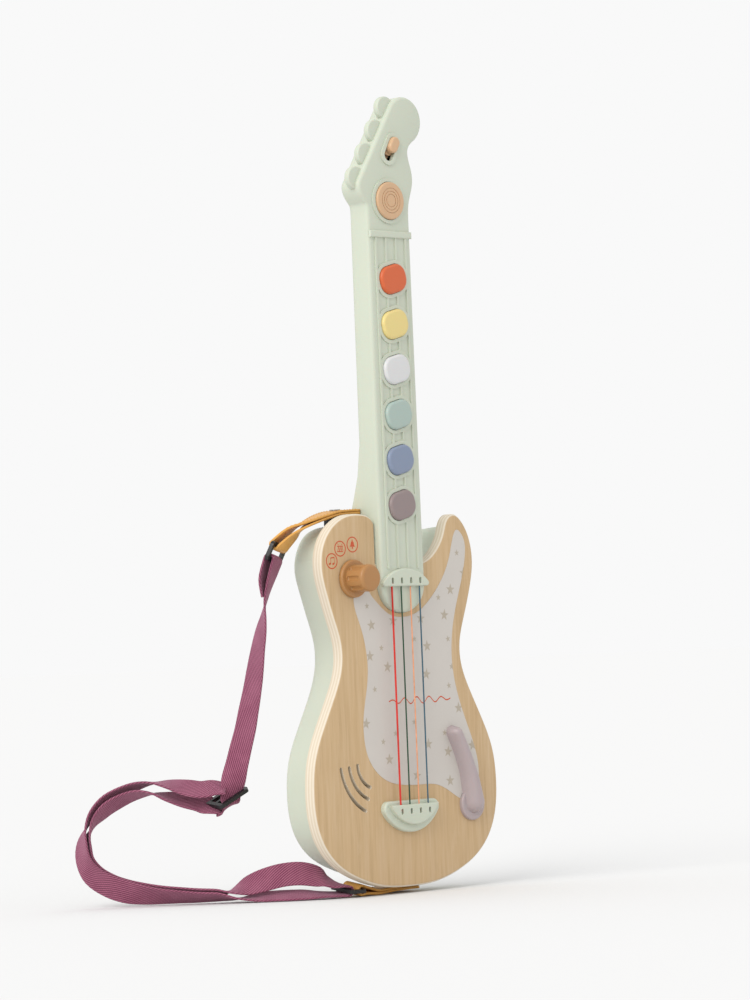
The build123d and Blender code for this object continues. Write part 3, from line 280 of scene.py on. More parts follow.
def printed_film():
    """Satin printed film, thin enough to show the faintest grain of the board."""
    colour = srgb(198, 192, 185)
    made = Shader("printed_film", colour, 0.38, specular=0.5, coat=0.08)
    place = made.place()
    grain = made.noise(made.stretched((420.0, 60.0, 16.0), place), 1.0, 5.0, 0.6)
    mottle = made.noise(place, 30.0, 3.0)
    made.paint(made.mix(made.span(mottle, 0.3, 0.7), shade(colour, 0.975), shade(colour, 1.01)))
    made.shine(made.span(mottle, 0.3, 0.7, 0.34, 0.44))
    made.bump(grain, 0.00005, 0.3)
    return made.material


def print_ink(name, colour):
    """A thin printed layer with slightly uneven cover."""
    made = Shader(name, colour, 0.5, specular=0.4)
    cover = made.noise(made.place(), 900.0, 3.0, 0.7)
    made.paint(made.mix(made.span(cover, 0.3, 0.75), shade(colour, 0.92), shade(colour, 1.08)))
    made.bump(cover, 0.00003, 0.4)
    return made.material


RIB_PITCH, YARN_PITCH = 0.0019, 0.00095


def webbing_cloth():
    """Twill-woven strap webbing: slanting ribs over a grid of single yarns, with some fuzz, painted
    shade in the grooves and painted highlight on the ribs and fuzz.
    """
    colour = srgb(150, 80, 107)
    # the darker colour is painted shade for the weave's grooves; the lighter one is painted
    # highlight for its ribs and fuzz, and also the tint of random lighter patches
    weave_groove_shade = srgb(84, 38, 55)
    light = srgb(206, 138, 160)
    made = Shader("strap_webbing", colour, 0.82, sheen=0.3, specular=0.2)
    made.set("Sheen Roughness", 0.5)
    made.set("Sheen Tint", (0.9, 0.6, 0.75, 1.0))
    flat = made.node("ShaderNodeUVMap", uv_map="flat").outputs[0]
    across, along = made.split(flat)[:2]
    loose = made.noise(made.stretched((300.0, 300.0, 1.0), flat), 1.0, 2.0)
    slant = made.math("ADD", across, made.math("MULTIPLY", along, 0.62))
    turns = made.math("ADD", made.math("MULTIPLY", slant, 2 * math.pi / RIB_PITCH), loose)
    ribs = made.math("SINE", turns)
    yarns = made.math("SINE", made.math("MULTIPLY", along, 2 * math.pi / YARN_PITCH))
    warps = made.math("SINE", made.math("MULTIPLY", across, 2 * math.pi / RIB_PITCH))
    knots = made.math("MULTIPLY", made.math("MULTIPLY", yarns, warps), 0.4)
    weave = made.math("ADD", made.math("MULTIPLY", ribs, 0.6), knots)
    fuzz = made.noise(flat, 2600.0, 2.0, 0.7)
    patches = made.noise(flat, 55.0, 3.0)
    # painted shade: darker where the weave sinks into its grooves
    cloth = made.mix(made.span(weave, -0.7, 0.5), weave_groove_shade, colour)
    # painted highlight on the raised ribs of the weave
    cloth = made.mix(made.span(weave, 0.45, 0.9, 0.0, 0.65), cloth, light)
    # painted highlight on the raised fuzz flecks
    cloth = made.mix(made.span(fuzz, 0.55, 0.8, 0.0, 0.45), cloth, light)
    cloth = made.mix(made.span(patches, 0.4, 0.7, 0.0, 0.12), cloth, light)
    made.paint(cloth)
    made.bump(weave, 0.00022, 0.8)
    made.bump(fuzz, 0.00008, 0.5)
    return made.material


def tan_leather():
    """Tan strap leather: pebbled grain with painted shade in its pits, shallow creases and mottled
    dye.
    """
    colour = srgb(214, 158, 78)
    # darker colour used as painted shade in the grain's pits
    pit_shade = shade(colour, 0.62)
    made = Shader("tan_leather", colour, 0.5, specular=0.4, coat=0.05)
    place = made.place()
    pebbles_and_pit_shade = made.cells(place, 1100.0)
    creases = made.noise(place, 160.0, 5.0, 0.65)
    mottle = made.noise(place, 45.0, 4.0)
    hide = made.mix(made.span(mottle, 0.3, 0.7), shade(colour, 0.88), shade(colour, 1.06))
    # painted shade: darker in the pits of the pebbled grain, where its bump is lowest
    hide = made.mix(made.span(pebbles_and_pit_shade, 0.0, 0.35, 0.22, 0.0), hide, pit_shade)
    made.paint(hide)
    made.shine(made.span(creases, 0.3, 0.7, 0.42, 0.6))
    made.bump(pebbles_and_pit_shade, 0.00010, 0.5)
    made.bump(creases, 0.00015, 0.4)
    return made.material


def thread(name, colour):
    """Twisted sewing thread, with painted shade where its twist sinks."""
    made = Shader(name, colour, 0.7, sheen=0.3, specular=0.25)
    twist_and_shade = made.noise(made.place(), 3500.0, 2.0)
    # painted shade: darker where the twist's bump is low
    made.paint(made.mix(made.span(twist_and_shade, 0.35, 0.65), shade(colour, 0.7), colour))
    made.bump(twist_and_shade, 0.00008, 0.6)
    return made.material


WRAP_PITCH = 0.0011


def string_cord(name, colour):
    """Coated play string: a tight wound wrap under a soft skin."""
    made = Shader(name, colour, 0.5, specular=0.4)
    z = made.split(made.place())["Z"]
    wrap = made.math("SINE", made.math("MULTIPLY", z, 2 * math.pi / WRAP_PITCH))
    tint = made.noise(made.stretched((30.0, 30.0, 260.0)), 1.0, 3.0)
    made.paint(made.mix(made.span(tint, 0.3, 0.7), shade(colour, 0.82), shade(colour, 1.1)))
    made.bump(wrap, 0.00010, 0.6)
    return made.material


def zinc_metal():
    """Zinc-plated steel with faint turning marks and spots of dullness."""
    colour = (0.55, 0.55, 0.56)
    made = Shader("zinc_steel", colour, 0.35, metallic=1.0)
    place = made.place()
    spots = made.noise(place, 420.0, 4.0, 0.6)
    made.paint(made.mix(made.span(spots, 0.35, 0.7), shade(colour, 0.75), shade(colour, 1.15)))
    made.shine(made.span(spots, 0.3, 0.7, 0.26, 0.48))
    made.bump(made.noise(made.stretched((900.0, 4000.0, 900.0), place), 1.0, 2.0), 0.00004, 0.4)
    return made.material


def circuit_board():
    """Green solder mask with faint tracks under it."""
    green = (0.03, 0.16, 0.07)
    made = Shader("circuit_board", green, 0.35, coat=0.3)
    place = made.place()
    tracks = made.cells(made.stretched((1.0, 0.2, 1.0), place), 240.0, "DISTANCE_TO_EDGE")
    made.paint(made.mix(made.span(tracks, 0.02, 0.05), (0.06, 0.28, 0.12), green))
    made.bump(tracks, 0.00005, 0.5)
    return made.material


def speaker_parts():
    """Black speaker frame and cone with a fine paper fibre."""
    made = Shader("speaker_parts", (0.03, 0.03, 0.03), 0.55)
    fibre = made.noise(made.place(), 900.0, 4.0, 0.7)
    made.paint(made.mix(made.span(fibre, 0.35, 0.7), (0.018, 0.018, 0.02), (0.06, 0.058, 0.055)))
    made.bump(fibre, 0.0001, 0.6)
    return made.material


def soft_foam():
    """Black open-cell foam, with painted shade in its cell hollows."""
    made = Shader("soft_foam", (0.02, 0.02, 0.02), 0.95, specular=0.1)
    foam_cells_and_shade = made.cells(made.place(), 1500.0)
    # painted shade: darker in the hollow middles of the cells, where the bump is lowest
    made.paint(made.mix(made.span(foam_cells_and_shade, 0.0, 0.5), (0.008, 0.008, 0.008), (0.04, 0.04, 0.04)))
    made.bump(foam_cells_and_shade, 0.0003, 0.8)
    return made.material


def cell_sleeve():
    """Plain shrink sleeve of a dry cell."""
    made = Shader("cell_sleeve", (0.08, 0.10, 0.14), 0.3, coat=0.4)
    scuffs = made.noise(made.place(), 130.0, 5.0, 0.7)
    made.paint(made.mix(made.span(scuffs, 0.4, 0.7), (0.07, 0.09, 0.13), (0.12, 0.14, 0.18)))
    made.shine(made.span(scuffs, 0.4, 0.7, 0.24, 0.42))
    made.bump(scuffs, 0.00006, 0.3)
    return made.material


MINT = srgb(195, 201, 184)
BUTTON_COLOURS = (srgb(204, 97, 54), srgb(221, 201, 132), srgb(209, 209, 209), srgb(166, 183, 175),
                  srgb(129, 141, 164), srgb(142, 127, 126))
STRING_COLOURS = (srgb(206, 44, 34), srgb(40, 74, 52), srgb(232, 158, 118), srgb(62, 94, 110))
PEACH = srgb(203, 167, 131)
CAMEL = srgb(170, 123, 74)
MAUVE = srgb(171, 157, 158)
BLACK = (0.012, 0.012, 0.013)


MERGE_GAP = 0.00001
SHARP_EDGE = math.radians(32)


def smooth_group():
    """Geometry nodes: join a CAD mesh's split corners and smooth all but its sharp edges."""
    group = bpy.data.node_groups.new("smooth_by_edges", "GeometryNodeTree")
    group.interface.new_socket("Geometry", in_out="INPUT", socket_type="NodeSocketGeometry")
    group.interface.new_socket("Geometry", in_out="OUTPUT", socket_type="NodeSocketGeometry")
    nodes, links = group.nodes, group.links
    start = nodes.new("NodeGroupInput")
    end = nodes.new("NodeGroupOutput")
    merge = nodes.new("GeometryNodeMergeByDistance")
    merge.inputs["Distance"].default_value = MERGE_GAP
    clear = nodes.new("GeometryNodeRemoveAttribute")
    clear.inputs["Name"].default_value = "custom_normal"
    faces = nodes.new("GeometryNodeSetShadeSmooth")
    angle = nodes.new("GeometryNodeInputMeshEdgeAngle")
    compare = nodes.new("FunctionNodeCompare")
    compare.operation = "LESS_THAN"
    compare.inputs[1].default_value = SHARP_EDGE
    edges = nodes.new("GeometryNodeSetShadeSmooth")
    edges.domain = "EDGE"
    links.new(start.outputs[0], merge.inputs["Geometry"])
    links.new(merge.outputs["Geometry"], clear.inputs["Geometry"])
    links.new(clear.outputs["Geometry"], faces.inputs["Geometry"])
    links.new(faces.outputs["Geometry"], edges.inputs["Geometry"])
    links.new(angle.outputs["Unsigned Angle"], compare.inputs[0])
    links.new(compare.outputs["Result"], edges.inputs["Shade Smooth"])
    links.new(edges.outputs["Geometry"], end.inputs[0])
    return group


def dress(node, material):
    """Give a CAD node its material."""
    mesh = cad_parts[node].data
    mesh.materials.clear()
    mesh.materials.append(material)


def smooth_node(node, group):
    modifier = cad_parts[node].modifiers.new("smooth", "NODES")
    modifier.node_group = group


def dress_nodes():
    """Give the listed CAD nodes their materials and smoothing, and return the plastic that the lever
    is made of.
    """
    mint = moulded_plastic("mint_plastic", MINT)
    black = moulded_plastic("black_plastic", BLACK, 0.38, 1.4)
    steel = zinc_metal()
    peach = moulded_plastic("peach_plastic", PEACH)
    mauve = moulded_plastic("mauve_plastic", MAUVE, 0.36)
    board = circuit_board()
    by_material = {
        plywood(): ["front_board"],
        printed_film(): ["pickguard_film"],
        mint: ["back_shell", "neck_front", "neck_back", "nut_bar", "saddle", "bridge_base",
               "bridge_cap", "battery_door"] + ["tuning_peg_%d" % (i + 1) for i in range(4)],
        black: ["upper_ring", "lower_ring", "tri_glide", "strap_lug_upper", "strap_lug_lower",
                "battery_tray", "selector_switch"],
        peach: ["round_button", "switch_slider", "switch_body"],
        moulded_plastic("camel_plastic", CAMEL, 0.40): ["selector_knob"],
        mauve: ["whammy_lever", "lever_base"],
        moulded_plastic("key_silicone", (0.55, 0.55, 0.53), 0.7, 2.0): ["key_mat"],
        board: ["key_board", "head_board", "main_board"],
        speaker_parts(): ["speaker"],
        soft_foam(): ["speaker_gasket"],
        cell_sleeve(): ["battery_cells"],
        steel: ["shell_screws", "neck_screws", "lever_screw", "battery_door_screw", "tab_rivets",
                "battery_contacts", "lever_spring"],
    }
    for i, colour in enumerate(BUTTON_COLOURS):
        plastic = moulded_plastic("button_plastic_%d" % (i + 1), colour, 0.36)
        by_material[plastic] = ["fret_button_%d" % (i + 1)]
    for i, colour in enumerate(STRING_COLOURS):
        by_material[string_cord("string_cord_%d" % (i + 1), colour)] = ["string_%d" % (i + 1)]
    smooth = smooth_group()
    for material, names in by_material.items():
        for name in names:
            dress(name, material)
            smooth_node(name, smooth)
    return mauve


# ------------------------------------------------------------------ mesh helpers
def mesh_piece(name, mesh, material, body=ROOT):
    """Link a finished bmesh as a piece that rides on a body."""
    data = bpy.data.meshes.new(name)
    mesh.normal_update()
    mesh.to_mesh(data)
    mesh.free()
    data.materials.append(material)
    piece = bpy.data.objects.new(name, data)
    bpy.context.scene.collection.objects.link(piece)
    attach(piece, body)
    return piece


def prism(mesh, outline, y_front, y_back):
    """Flat plate with an (x, z) outline between two depths."""
    front = [mesh.verts.new((x, y_front, z)) for x, z in outline]
    back = [mesh.verts.new((x, y_back, z)) for x, z in outline]
    mesh.faces.new(front)
    mesh.faces.new(back[::-1])
    count = len(outline)
    for i in range(count):
        j = (i + 1) % count
        mesh.faces.new((front[j], front[i], back[i], back[j]))


def circle_points(x, z, radius, count=40):
    return [(x + radius * math.cos(2 * math.pi * i / count),
             z + radius * math.sin(2 * math.pi * i / count)) for i in range(count)]


def eased(values, i, share):
    """Catmull-Rom value between stations i and i + 1."""
    a = values[max(i - 1, 0)]
    b = values[i]
    c = values[i + 1]
    d = values[min(i + 2, len(values) - 1)]
    t2, t3 = share * share, share ** 3
    return (b * 2 + (c - a) * share + (a * 2 - b * 5 + c * 4 - d) * t2
            + (b * 3 - a - c * 3 + d) * t3) * 0.5


# ------------------------------------------------------------------ whammy lever
# Stations down the lever's middle: x, z and half width in mm.
LEVER_LINE = ((51.6, 118.0, 6.5), (58.3, 105.0, 6.8), (63.5, 93.0, 7.5), (67.9, 80.0, 9.0),
              (71.5, 62.0, 11.5))
LEVER_WALL = 0.0022             # straight side below the dome
LEVER_STEPS, LEVER_ACROSS = 8, 16
LEVER_DOME = 2.8                # how squarely the dome comes down to its wall
LEVER_WELD = 0.00002


def lever_rows():
    """Middle, half width and cap share of each cross-section, from the tip to the hub."""
    line = [Vector(station) for station in LEVER_LINE]
    first = (line[1] - line[0]).normalized()
    last = (line[-1] - line[-2]).normalized()
    rows = []
    for i in range(LEVER_STEPS):
        angle = math.pi / 2 * i / LEVER_STEPS
        rows.append((line[0] - first * (line[0].z * math.cos(angle)), line[0].z, angle, first))
    for i in range(len(line) - 1):
        for k in range(LEVER_STEPS):
            here = eased(line, i, k / LEVER_STEPS)
            ahead = eased(line, i, (k + 1) / LEVER_STEPS)
            rows.append((here, here.z, math.pi / 2, (ahead - here).normalized()))
    for i in range(LEVER_STEPS + 1):
        angle = math.pi / 2 * (1 - i / LEVER_STEPS)
        rows.append((line[-1] + last * (line[-1].z * math.cos(angle)), line[-1].z, angle, last))
    return rows


def make_lever(material):
    """Soft-domed lever handle that widens down to its hub."""
    low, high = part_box("whammy_lever")
    dome = high[1] - low[1] - LEVER_WALL
    mesh = bmesh.new()
    rings = []
    for middle, radius, angle, way in lever_rows():
        side = Vector((way.y, -way.x, 0.0)).normalized()
        ring = []
        for k in range(LEVER_ACROSS + 1):
            share = -math.cos(math.pi * k / LEVER_ACROSS)
            spot = middle + side * (radius * math.sin(angle) * share)
            reach = min(1.0, math.hypot(math.cos(angle), math.sin(angle) * share))
            rise = dome * (1.0 - reach ** LEVER_DOME) ** 0.5
            ring.append(mesh.verts.new((spot.x * MM, high[1] - LEVER_WALL - rise,
                                        (spot.y + LIFT) * MM)))
        for end in (ring[-1], ring[0]):
            ring.append(mesh.verts.new((end.co.x, high[1], end.co.z)))
        rings.append(ring)
    count = len(rings[0])
    for a, b in zip(rings, rings[1:]):
        for k in range(count):
            j = (k + 1) % count
            mesh.faces.new((a[k], a[j], b[j], b[k])).smooth = True
    bmesh.ops.remove_doubles(mesh, verts=mesh.verts, dist=LEVER_WELD)
    bmesh.ops.holes_fill(mesh, edges=[edge for edge in mesh.edges if edge.is_boundary])
    bmesh.ops.recalc_face_normals(mesh, faces=mesh.faces)
    piece = mesh_piece("lever_handle", mesh, material, "lever")
    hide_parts("whammy_lever")
    return piece


# ------------------------------------------------------------------ printed marks
INK_PROUD, INK_SUNK = 0.00006, 0.0001    # a print's front and back, from the surface it is on
FILM_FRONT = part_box("pickguard_film")[0][1]
WOOD_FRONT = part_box("front_board")[0][1]
LARGE_STAR, SMALL_STAR = 4.8, 2.7
STAR_WAIST = 0.40               # inner corners, as a share of the outer ones
STAR_TILT = 9
STAR_CUTTER_SHIFT = 0.0001      # brings the cutter's front past the ink's
LARGE_STARS = ((57, 231), (49, 211), (28, 187), (26, 165), (61, 137), (25, 110), (47, 103),
               (48, 80), (11, 86), (-19, 100), (-43, 129), (-17, 172), (-36, 181), (-33, 205),
               (-9, 208), (22, 209), (73, 244), (75, 107))
SMALL_STARS = ((66, 260), (43, 225), (52, 192), (55, 170), (51, 155), (10, 128), (44, 118),
               (-25, 114), (-11, 120), (-32, 155), (-23, 187), (-37, 220), (14, 193))


def star_outline(x, z, radius, tilt):
    """Five-pointed star round a spot in mm, as (x, z) points in metres."""
    points = []
    for i in range(10):
        reach = radius if i % 2 == 0 else radius * STAR_WAIST
        angle = math.radians(90 + 36 * i + tilt)
        points.append(((x + reach * math.cos(angle)) * MM,
                       (z + LIFT + reach * math.sin(angle)) * MM))
    return points


def star_print(ink):
    """Stars printed on the film, cut off where they reach its edge."""
    random.seed(7)
    mesh = bmesh.new()
    for places, radius in ((LARGE_STARS, LARGE_STAR), (SMALL_STARS, SMALL_STAR)):
        for x, z in places:
            outline = star_outline(x, z, radius, random.uniform(-STAR_TILT, STAR_TILT))
            prism(mesh, outline, FILM_FRONT - INK_PROUD, FILM_FRONT + INK_SUNK)
    stars = mesh_piece("printed_stars", mesh, ink)
    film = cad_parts["pickguard_film"]
    cutter = bpy.data.objects.new("star_limit", film.data.copy())
    bpy.context.scene.collection.objects.link(cutter)
    weld = bmesh.new()
    weld.from_mesh(cutter.data)
    bmesh.ops.remove_doubles(weld, verts=weld.verts, dist=MERGE_GAP)
    for vert in weld.verts:
        vert.co.y -= STAR_CUTTER_SHIFT
    weld.to_mesh(cutter.data)
    weld.free()
    cut = stars.modifiers.new("limit", "BOOLEAN")
    cut.operation = "INTERSECT"
    cut.solver = "EXACT"
    cut.object = cutter
    bpy.context.view_layer.update()
    trimmed = bpy.data.meshes.new_from_object(stars.evaluated_get(
        bpy.context.evaluated_depsgraph_get()))
    stars.modifiers.clear()
    stars.data = trimmed
    trimmed.materials.clear()
    trimmed.materials.append(ink)
    bpy.data.objects.remove(cutter)


ICON_RADIUS, ICON_LINE, ICON_SIDES = 6.2, 0.9, 48
ICON_PLACES = ((-73.0, 255.5), (-63.5, 265.0), (-50.0, 268.0))


def icon_ring(mesh, x, z, radius, line):
    """Flat printed ring."""
    outer = circle_points(x, z, radius, ICON_SIDES)
    inner = circle_points(x, z, radius - line, ICON_SIDES)
    front = WOOD_FRONT - INK_PROUD
    back = WOOD_FRONT + INK_SUNK
    rows = []
    for loop, depth in ((outer, front), (inner, front), (inner, back), (outer, back)):
        rows.append([mesh.verts.new((px * MM, depth, (pz + LIFT) * MM)) for px, pz in loop])
    for k in range(4):
        here, there = rows[k], rows[(k + 1) % 4]
        for i in range(ICON_SIDES):
            j = (i + 1) % ICON_SIDES
            mesh.faces.new((here[i], here[j], there[j], there[i]))


def icon_plate(mesh, outline):
    """Printed shape of an icon, from its outline in mm."""
    prism(mesh, [(x * MM, (z + LIFT) * MM) for x, z in outline], WOOD_FRONT - INK_PROUD,
          WOOD_FRONT + INK_SUNK)


def icon_bar(mesh, left, right, low, high):
    """Rectangle of an icon."""
    icon_plate(mesh, [(left, low), (right, low), (right, high), (left, high)])


def note_symbol(mesh, x, z):
    """Two beamed notes."""
    for shift in (-2.1, 1.7):
        head = [(x + shift + 1.15 * math.cos(a), z - 2.1 + 0.85 * math.sin(a) + 0.3 * math.cos(a))
                for a in [2 * math.pi * i / 20 for i in range(20)]]
        icon_plate(mesh, head)
        stem = x + shift + 0.8
        icon_bar(mesh, stem, stem + 0.45, z - 2.0, z + 2.6)
    icon_plate(mesh, [(x - 1.3, z + 1.9), (x + 2.95, z + 2.4),
                      (x + 2.95, z + 3.3), (x - 1.3, z + 2.8)])


def drum_symbol(mesh, x, z):
    """Side view of a drum with crossed lacing."""
    for low, high in ((-2.6, -1.9), (1.5, 2.2)):
        icon_bar(mesh, x - 3.1, x + 3.1, z + low, z + high)
    for i in range(3):
        left = x - 2.9 + 1.95 * i
        for a, b in ((left, left + 0.97), (left + 1.94, left + 0.97)):
            icon_plate(mesh, [(a, z - 1.9), (a + 0.4, z - 1.9), (b + 0.4, z + 1.5), (b, z + 1.5)])
    for side in (-1, 1):
        icon_plate(mesh, [(x + side * 1.0, z + 2.6), (x + side * 1.45, z + 2.6),
                          (x + side * 3.0, z + 4.0), (x + side * 2.55, z + 4.0)])


def bell_symbol(mesh, x, z):
    """Hand bell with its clapper."""
    side = [(-2.9, -1.7), (-2.2, -0.9), (-1.7, 0.6), (-1.4, 1.8), (-0.7, 2.6)]
    outline = [(x + px, z + pz) for px, pz in side]
    outline += [(x - px, z + pz) for px, pz in side[::-1]]
    icon_plate(mesh, outline)
    icon_plate(mesh, circle_points(x, z - 2.6, 0.75, 20))
    icon_plate(mesh, circle_points(x, z + 3.3, 0.6, 20))


def icon_print(ink):
    """Three round sound symbols above the selector knob."""
    mesh = bmesh.new()
    for (x, z), symbol in zip(ICON_PLACES, (note_symbol, drum_symbol, bell_symbol)):
        icon_ring(mesh, x, z, ICON_RADIUS, ICON_LINE)
        symbol(mesh, x, z)
    return mesh_piece("printed_icons", mesh, ink)


WAVE_LEFT, WAVE_RIGHT, WAVE_HEIGHT = -17.0, 52.0, 145.0
WAVE_RISE, WAVE_COUNT, WAVE_STEPS = 2.6, 5, 96
WAVE_HALF_LINE = 0.5


def wave_print(ink):
    """A plain wavy line printed across the film."""
    mesh = bmesh.new()
    upper, lower = [], []
    for i in range(WAVE_STEPS + 1):
        share = i / WAVE_STEPS
        x = WAVE_LEFT + (WAVE_RIGHT - WAVE_LEFT) * share
        swell = math.sin(math.pi * share) ** 0.5
        z = WAVE_HEIGHT + WAVE_RISE * swell * math.sin(2 * math.pi * WAVE_COUNT * share)
        upper.append((x * MM, (z + WAVE_HALF_LINE + LIFT) * MM))
        lower.append((x * MM, (z - WAVE_HALF_LINE + LIFT) * MM))
    front, back = FILM_FRONT - INK_PROUD, FILM_FRONT + INK_SUNK
    for i in range(WAVE_STEPS):
        prism(mesh, [lower[i], lower[i + 1], upper[i + 1], upper[i]], front, back)
    bmesh.ops.remove_doubles(mesh, verts=mesh.verts, dist=0.000001)
    return mesh_piece("printed_wave", mesh, ink)


# ------------------------------------------------------------------ strap
# Stations are (s, n, z) in mm: s along the strap's upright plane, which is turned 45
# degrees from the board, n square to it and away from the player.
HALF_ROOT = math.sqrt(0.5)
WEB_W, WEB_T, WEB_CROWN = 19.0, 1.6, 0.12
TAB_W, TAB_T, TAB_CROWN = 20.0, 1.9, 0.08
LONG_STEP, LONG_STEP_PARTS = 3.0, 4    # longer steps are divided, and into so many
RING_WIRE = 3.6


def strap_way(s, n, z):
    """Place or direction in the shared frame, from one in the strap's own."""
    return Vector((HALF_ROOT * (s + n), HALF_ROOT * (n - s), z))


UPPER_ACROSS = strap_way(0.33, 0.93, -0.153).normalized()
UPPER_ALONG = strap_way(-0.42, 0.0, -0.907).normalized()
UPPER_CENTRE = strap_way(-88.0, -58.0, 263.5)
LOWER_ACROSS = Vector((0.10, 0.98, 0.12)).normalized()
LOWER_ALONG = Vector((-0.995, 0.1026, 0.0)).normalized()
LOWER_CENTRE = Vector((-48.5, 12.0, 1.1))
SLOT_L = 8.6
BAR_CLEAR = 2.75                # a strip turns round a bar at this radius
BAR_OFFSET = (SLOT_L + RING_WIRE) / 2
UPPER_TAB = [(-24.8, 16, 294.3), (-36, 16, 293.9), (-48, 16, 293), (-62, 16, 289.6),
             (-77, 16.4, 284.2), (-89, 17.2, 278.6)]
UPPER_TAB_SIDES = [(0, 1, 0), (0, 1, 0), (0, 1, 0), (0.15, 1, 0), (0.5, 0.9, -0.05),
                   (0.8, 0.6, -0.12)]
UPPER_SPREAD = [1.0, 1.0, 1.0, 1.1, 1.6, 3.0]
LOWER_TAB = [(22, 14, -1.2), (8, 14, -1.4), (-8, 14, -2.0), (-22, 13.6, -2.4), (-33, 13.2, -0.2)]
LOWER_TAB_SIDES = [(0, 1, 0), (0, 1, 0), (0, 1, 0), (0.02, 1, 0.05), (0.08, 0.98, 0.1)]
LOWER_SPREAD = [1.0, 1.0, 1.0, 1.1, 2.2]
DROP = [((-95.0, -57.0, 236), (0.18, 0.98, 0)), ((-97.6, -56.0, 226), (0.05, 1, 0)),
        ((-99.5, -54.6, 215), (-0.2, 0.98, 0)), ((-101.7, -53, 204.8), (-0.42, 0.9, 0)),
        ((-105, -51, 189.5), (-0.57, 0.82, 0)), ((-107.8, -49, 174), (-0.68, 0.73, 0)),
        ((-110.6, -47.4, 158.8), (-0.75, 0.66, 0)), ((-114, -46, 143.5), (-0.82, 0.57, 0)),
        ((-117.5, -45, 128), (-0.87, 0.5, 0)), ((-121.8, -44.4, 113), (-0.91, 0.42, 0)),
        ((-125.4, -44.4, 100), (-0.93, 0.30, -0.05)), ((-127.8, -43.8, 91), (-0.86, 0.0, -0.3)),
        ((-129.6, -44, 83.4), (-0.76, -0.4, -0.4)), ((-130.9, -44.2, 76.6), (-0.72, -0.54, -0.43)),
        ((-131.6, -44, 72), (-0.72, -0.54, -0.43)), ((-135, -42.2, 68.6), (-0.68, -0.56, -0.46)),
        ((-141, -40.6, 67.0), (-0.6, -0.58, -0.48))]
SEWN_END = [((-98.9, -57.6, 230.5), (0.1, 1, 0)), ((-98.9, -58.2, 237), (0.22, 0.97, 0)),
            ((-98.4, -59, 246), (0.3, 0.95, 0))]
LAP = [((-134.2, -46.9, 83.4), (-0.62, 0.64, 0.40)),
       ((-143.5, -47.6, 84.6), (-0.45, 0.68, 0.52))]
LOOP = [((-154, -45.3, 78.2), (-0.25, 0.72, 0.6), 7.0),
        ((-166, -45, 80.8), (-0.06, 0.8, 0.6), 6.2), ((-181, -45, 84.2), (0, 0.96, 0.25), 5.2),
        ((-194, -44.5, 86), (0, 0.99, -0.15), 4.0), ((-208, -43.5, 83.4), (0.05, 0.9, -0.42), 3.2),
        ((-224, -42, 76), (0.3, 0.85, -0.45), 3.0), ((-234.5, -40, 67), (0.3, 0.93, -0.25), 2.6),
        ((-241.4, -38.6, 56.8), (0, 1, -0.05), 2.2),
        ((-245.4, -37.4, 44.6), (-0.45, 0.89, 0.02), 1.9),
        ((-245.4, -36.4, 32), (-0.68, 0.73, -0.1), 1.5),
        ((-239.4, -36, 20.4), (-0.78, 0.5, -0.5), 1.5),
        ((-228, -36, 12.2), (-0.6, 0.36, -0.75), 1.5), ((-215, -36.6, 7.2), (-0.3, 0.38, -0.9), 1.5),
        ((-199.6, -37.6, 4.4), (-0.1, 0.62, -0.78), 1.5),
        ((-180.4, -38.8, 2.9), (0, 0.81, -0.59), 1.5),
        ((-157.3, -40, 1.7), (0, 0.9, -0.43), 1.5), ((-143, -40.6, 1.4), (0, 0.93, -0.36), 1.5)]
OUTER_END = [((-129, -41, -1.9), (0, 1, -0.1)), ((-112, -41.4, -1.2), (0, 0.95, 0.26)),
             ((-94, -41.6, -0.8), (-0.05, 0.93, 0.32)), ((-76, -40, -0.9), (-0.3, 0.88, 0.30)),
             ((-62, -36.0, -1.6), (-0.55, 0.8, 0.16))]
INNER_TAIL = [((-146, -43.8, 70.6), (-0.42, 0.66, 0.55)),
              ((-139.5, -42.6, 69.6), (-0.55, 0.45, 0.5))]
INNER_END = [((-57, -34.0, 7.6), (-0.55, 0.6, 0.5)), ((-65, -36.6, 12.0), (-0.35, 0.45, 0.78)),
             ((-78, -39.2, 15.2), (-0.1, 0.35, 0.94)), ((-92, -40.4, 15.0), (-0.1, 0.35, 0.94)),
             ((-106, -41, 12.0), (-0.2, 0.42, 0.9)), ((-119, -41, 8.0), (-0.2, 0.62, 0.68)),
             ((-131, -41, 4.6), (-0.1, 0.92, 0.15))]


def spread_out(points, sides, amounts):
    """Move each point along the strip's outer face by its amount."""
    moved = []
    for i, point in enumerate(points):
        before = points[max(i - 1, 0)]
        after = points[min(i + 1, len(points) - 1)]
        outward = sides[i].cross(after - before).normalized()
        moved.append(point + outward * amounts[i])
    return moved


def turn(centre, start, side, radius, steps=12):
    """Half turn about a bar: from centre + start direction, round to the other side."""
    first = start.normalized()
    second = first.cross(side).normalized()
    way = []
    for i in range(steps + 1):
        angle = math.radians(180 * i / steps)
        way.append(centre + first * (radius * math.cos(angle))
                   + second * (radius * math.sin(angle)))
    return way


def smooth_way(points, sides):
    """Closer stations on a smooth path through the given ones, in their long steps."""
    way, turned = [], []
    for i in range(len(points) - 1):
        is_long = (points[i + 1] - points[i]).length > LONG_STEP
        steps = LONG_STEP_PARTS if is_long else 1
        for k in range(steps):
            way.append(eased(points, i, k / steps))
            turned.append(eased(sides, i, k / steps))
    way.append(points[-1])
    turned.append(sides[-1])
    return way, turned


def frames_of(points, sides, square=True):
    """Position, along, across and outward direction at each station."""
    made = []
    for i, point in enumerate(points):
        before = point - points[max(i - 1, 0)]
        after = points[min(i + 1, len(points) - 1)] - point
        along = (before.normalized() + after.normalized()).normalized()
        across = sides[i] - along * sides[i].dot(along) if square else sides[i]
        across = across.normalized()
        made.append((point, along, across, across.cross(along).normalized()))
    return made


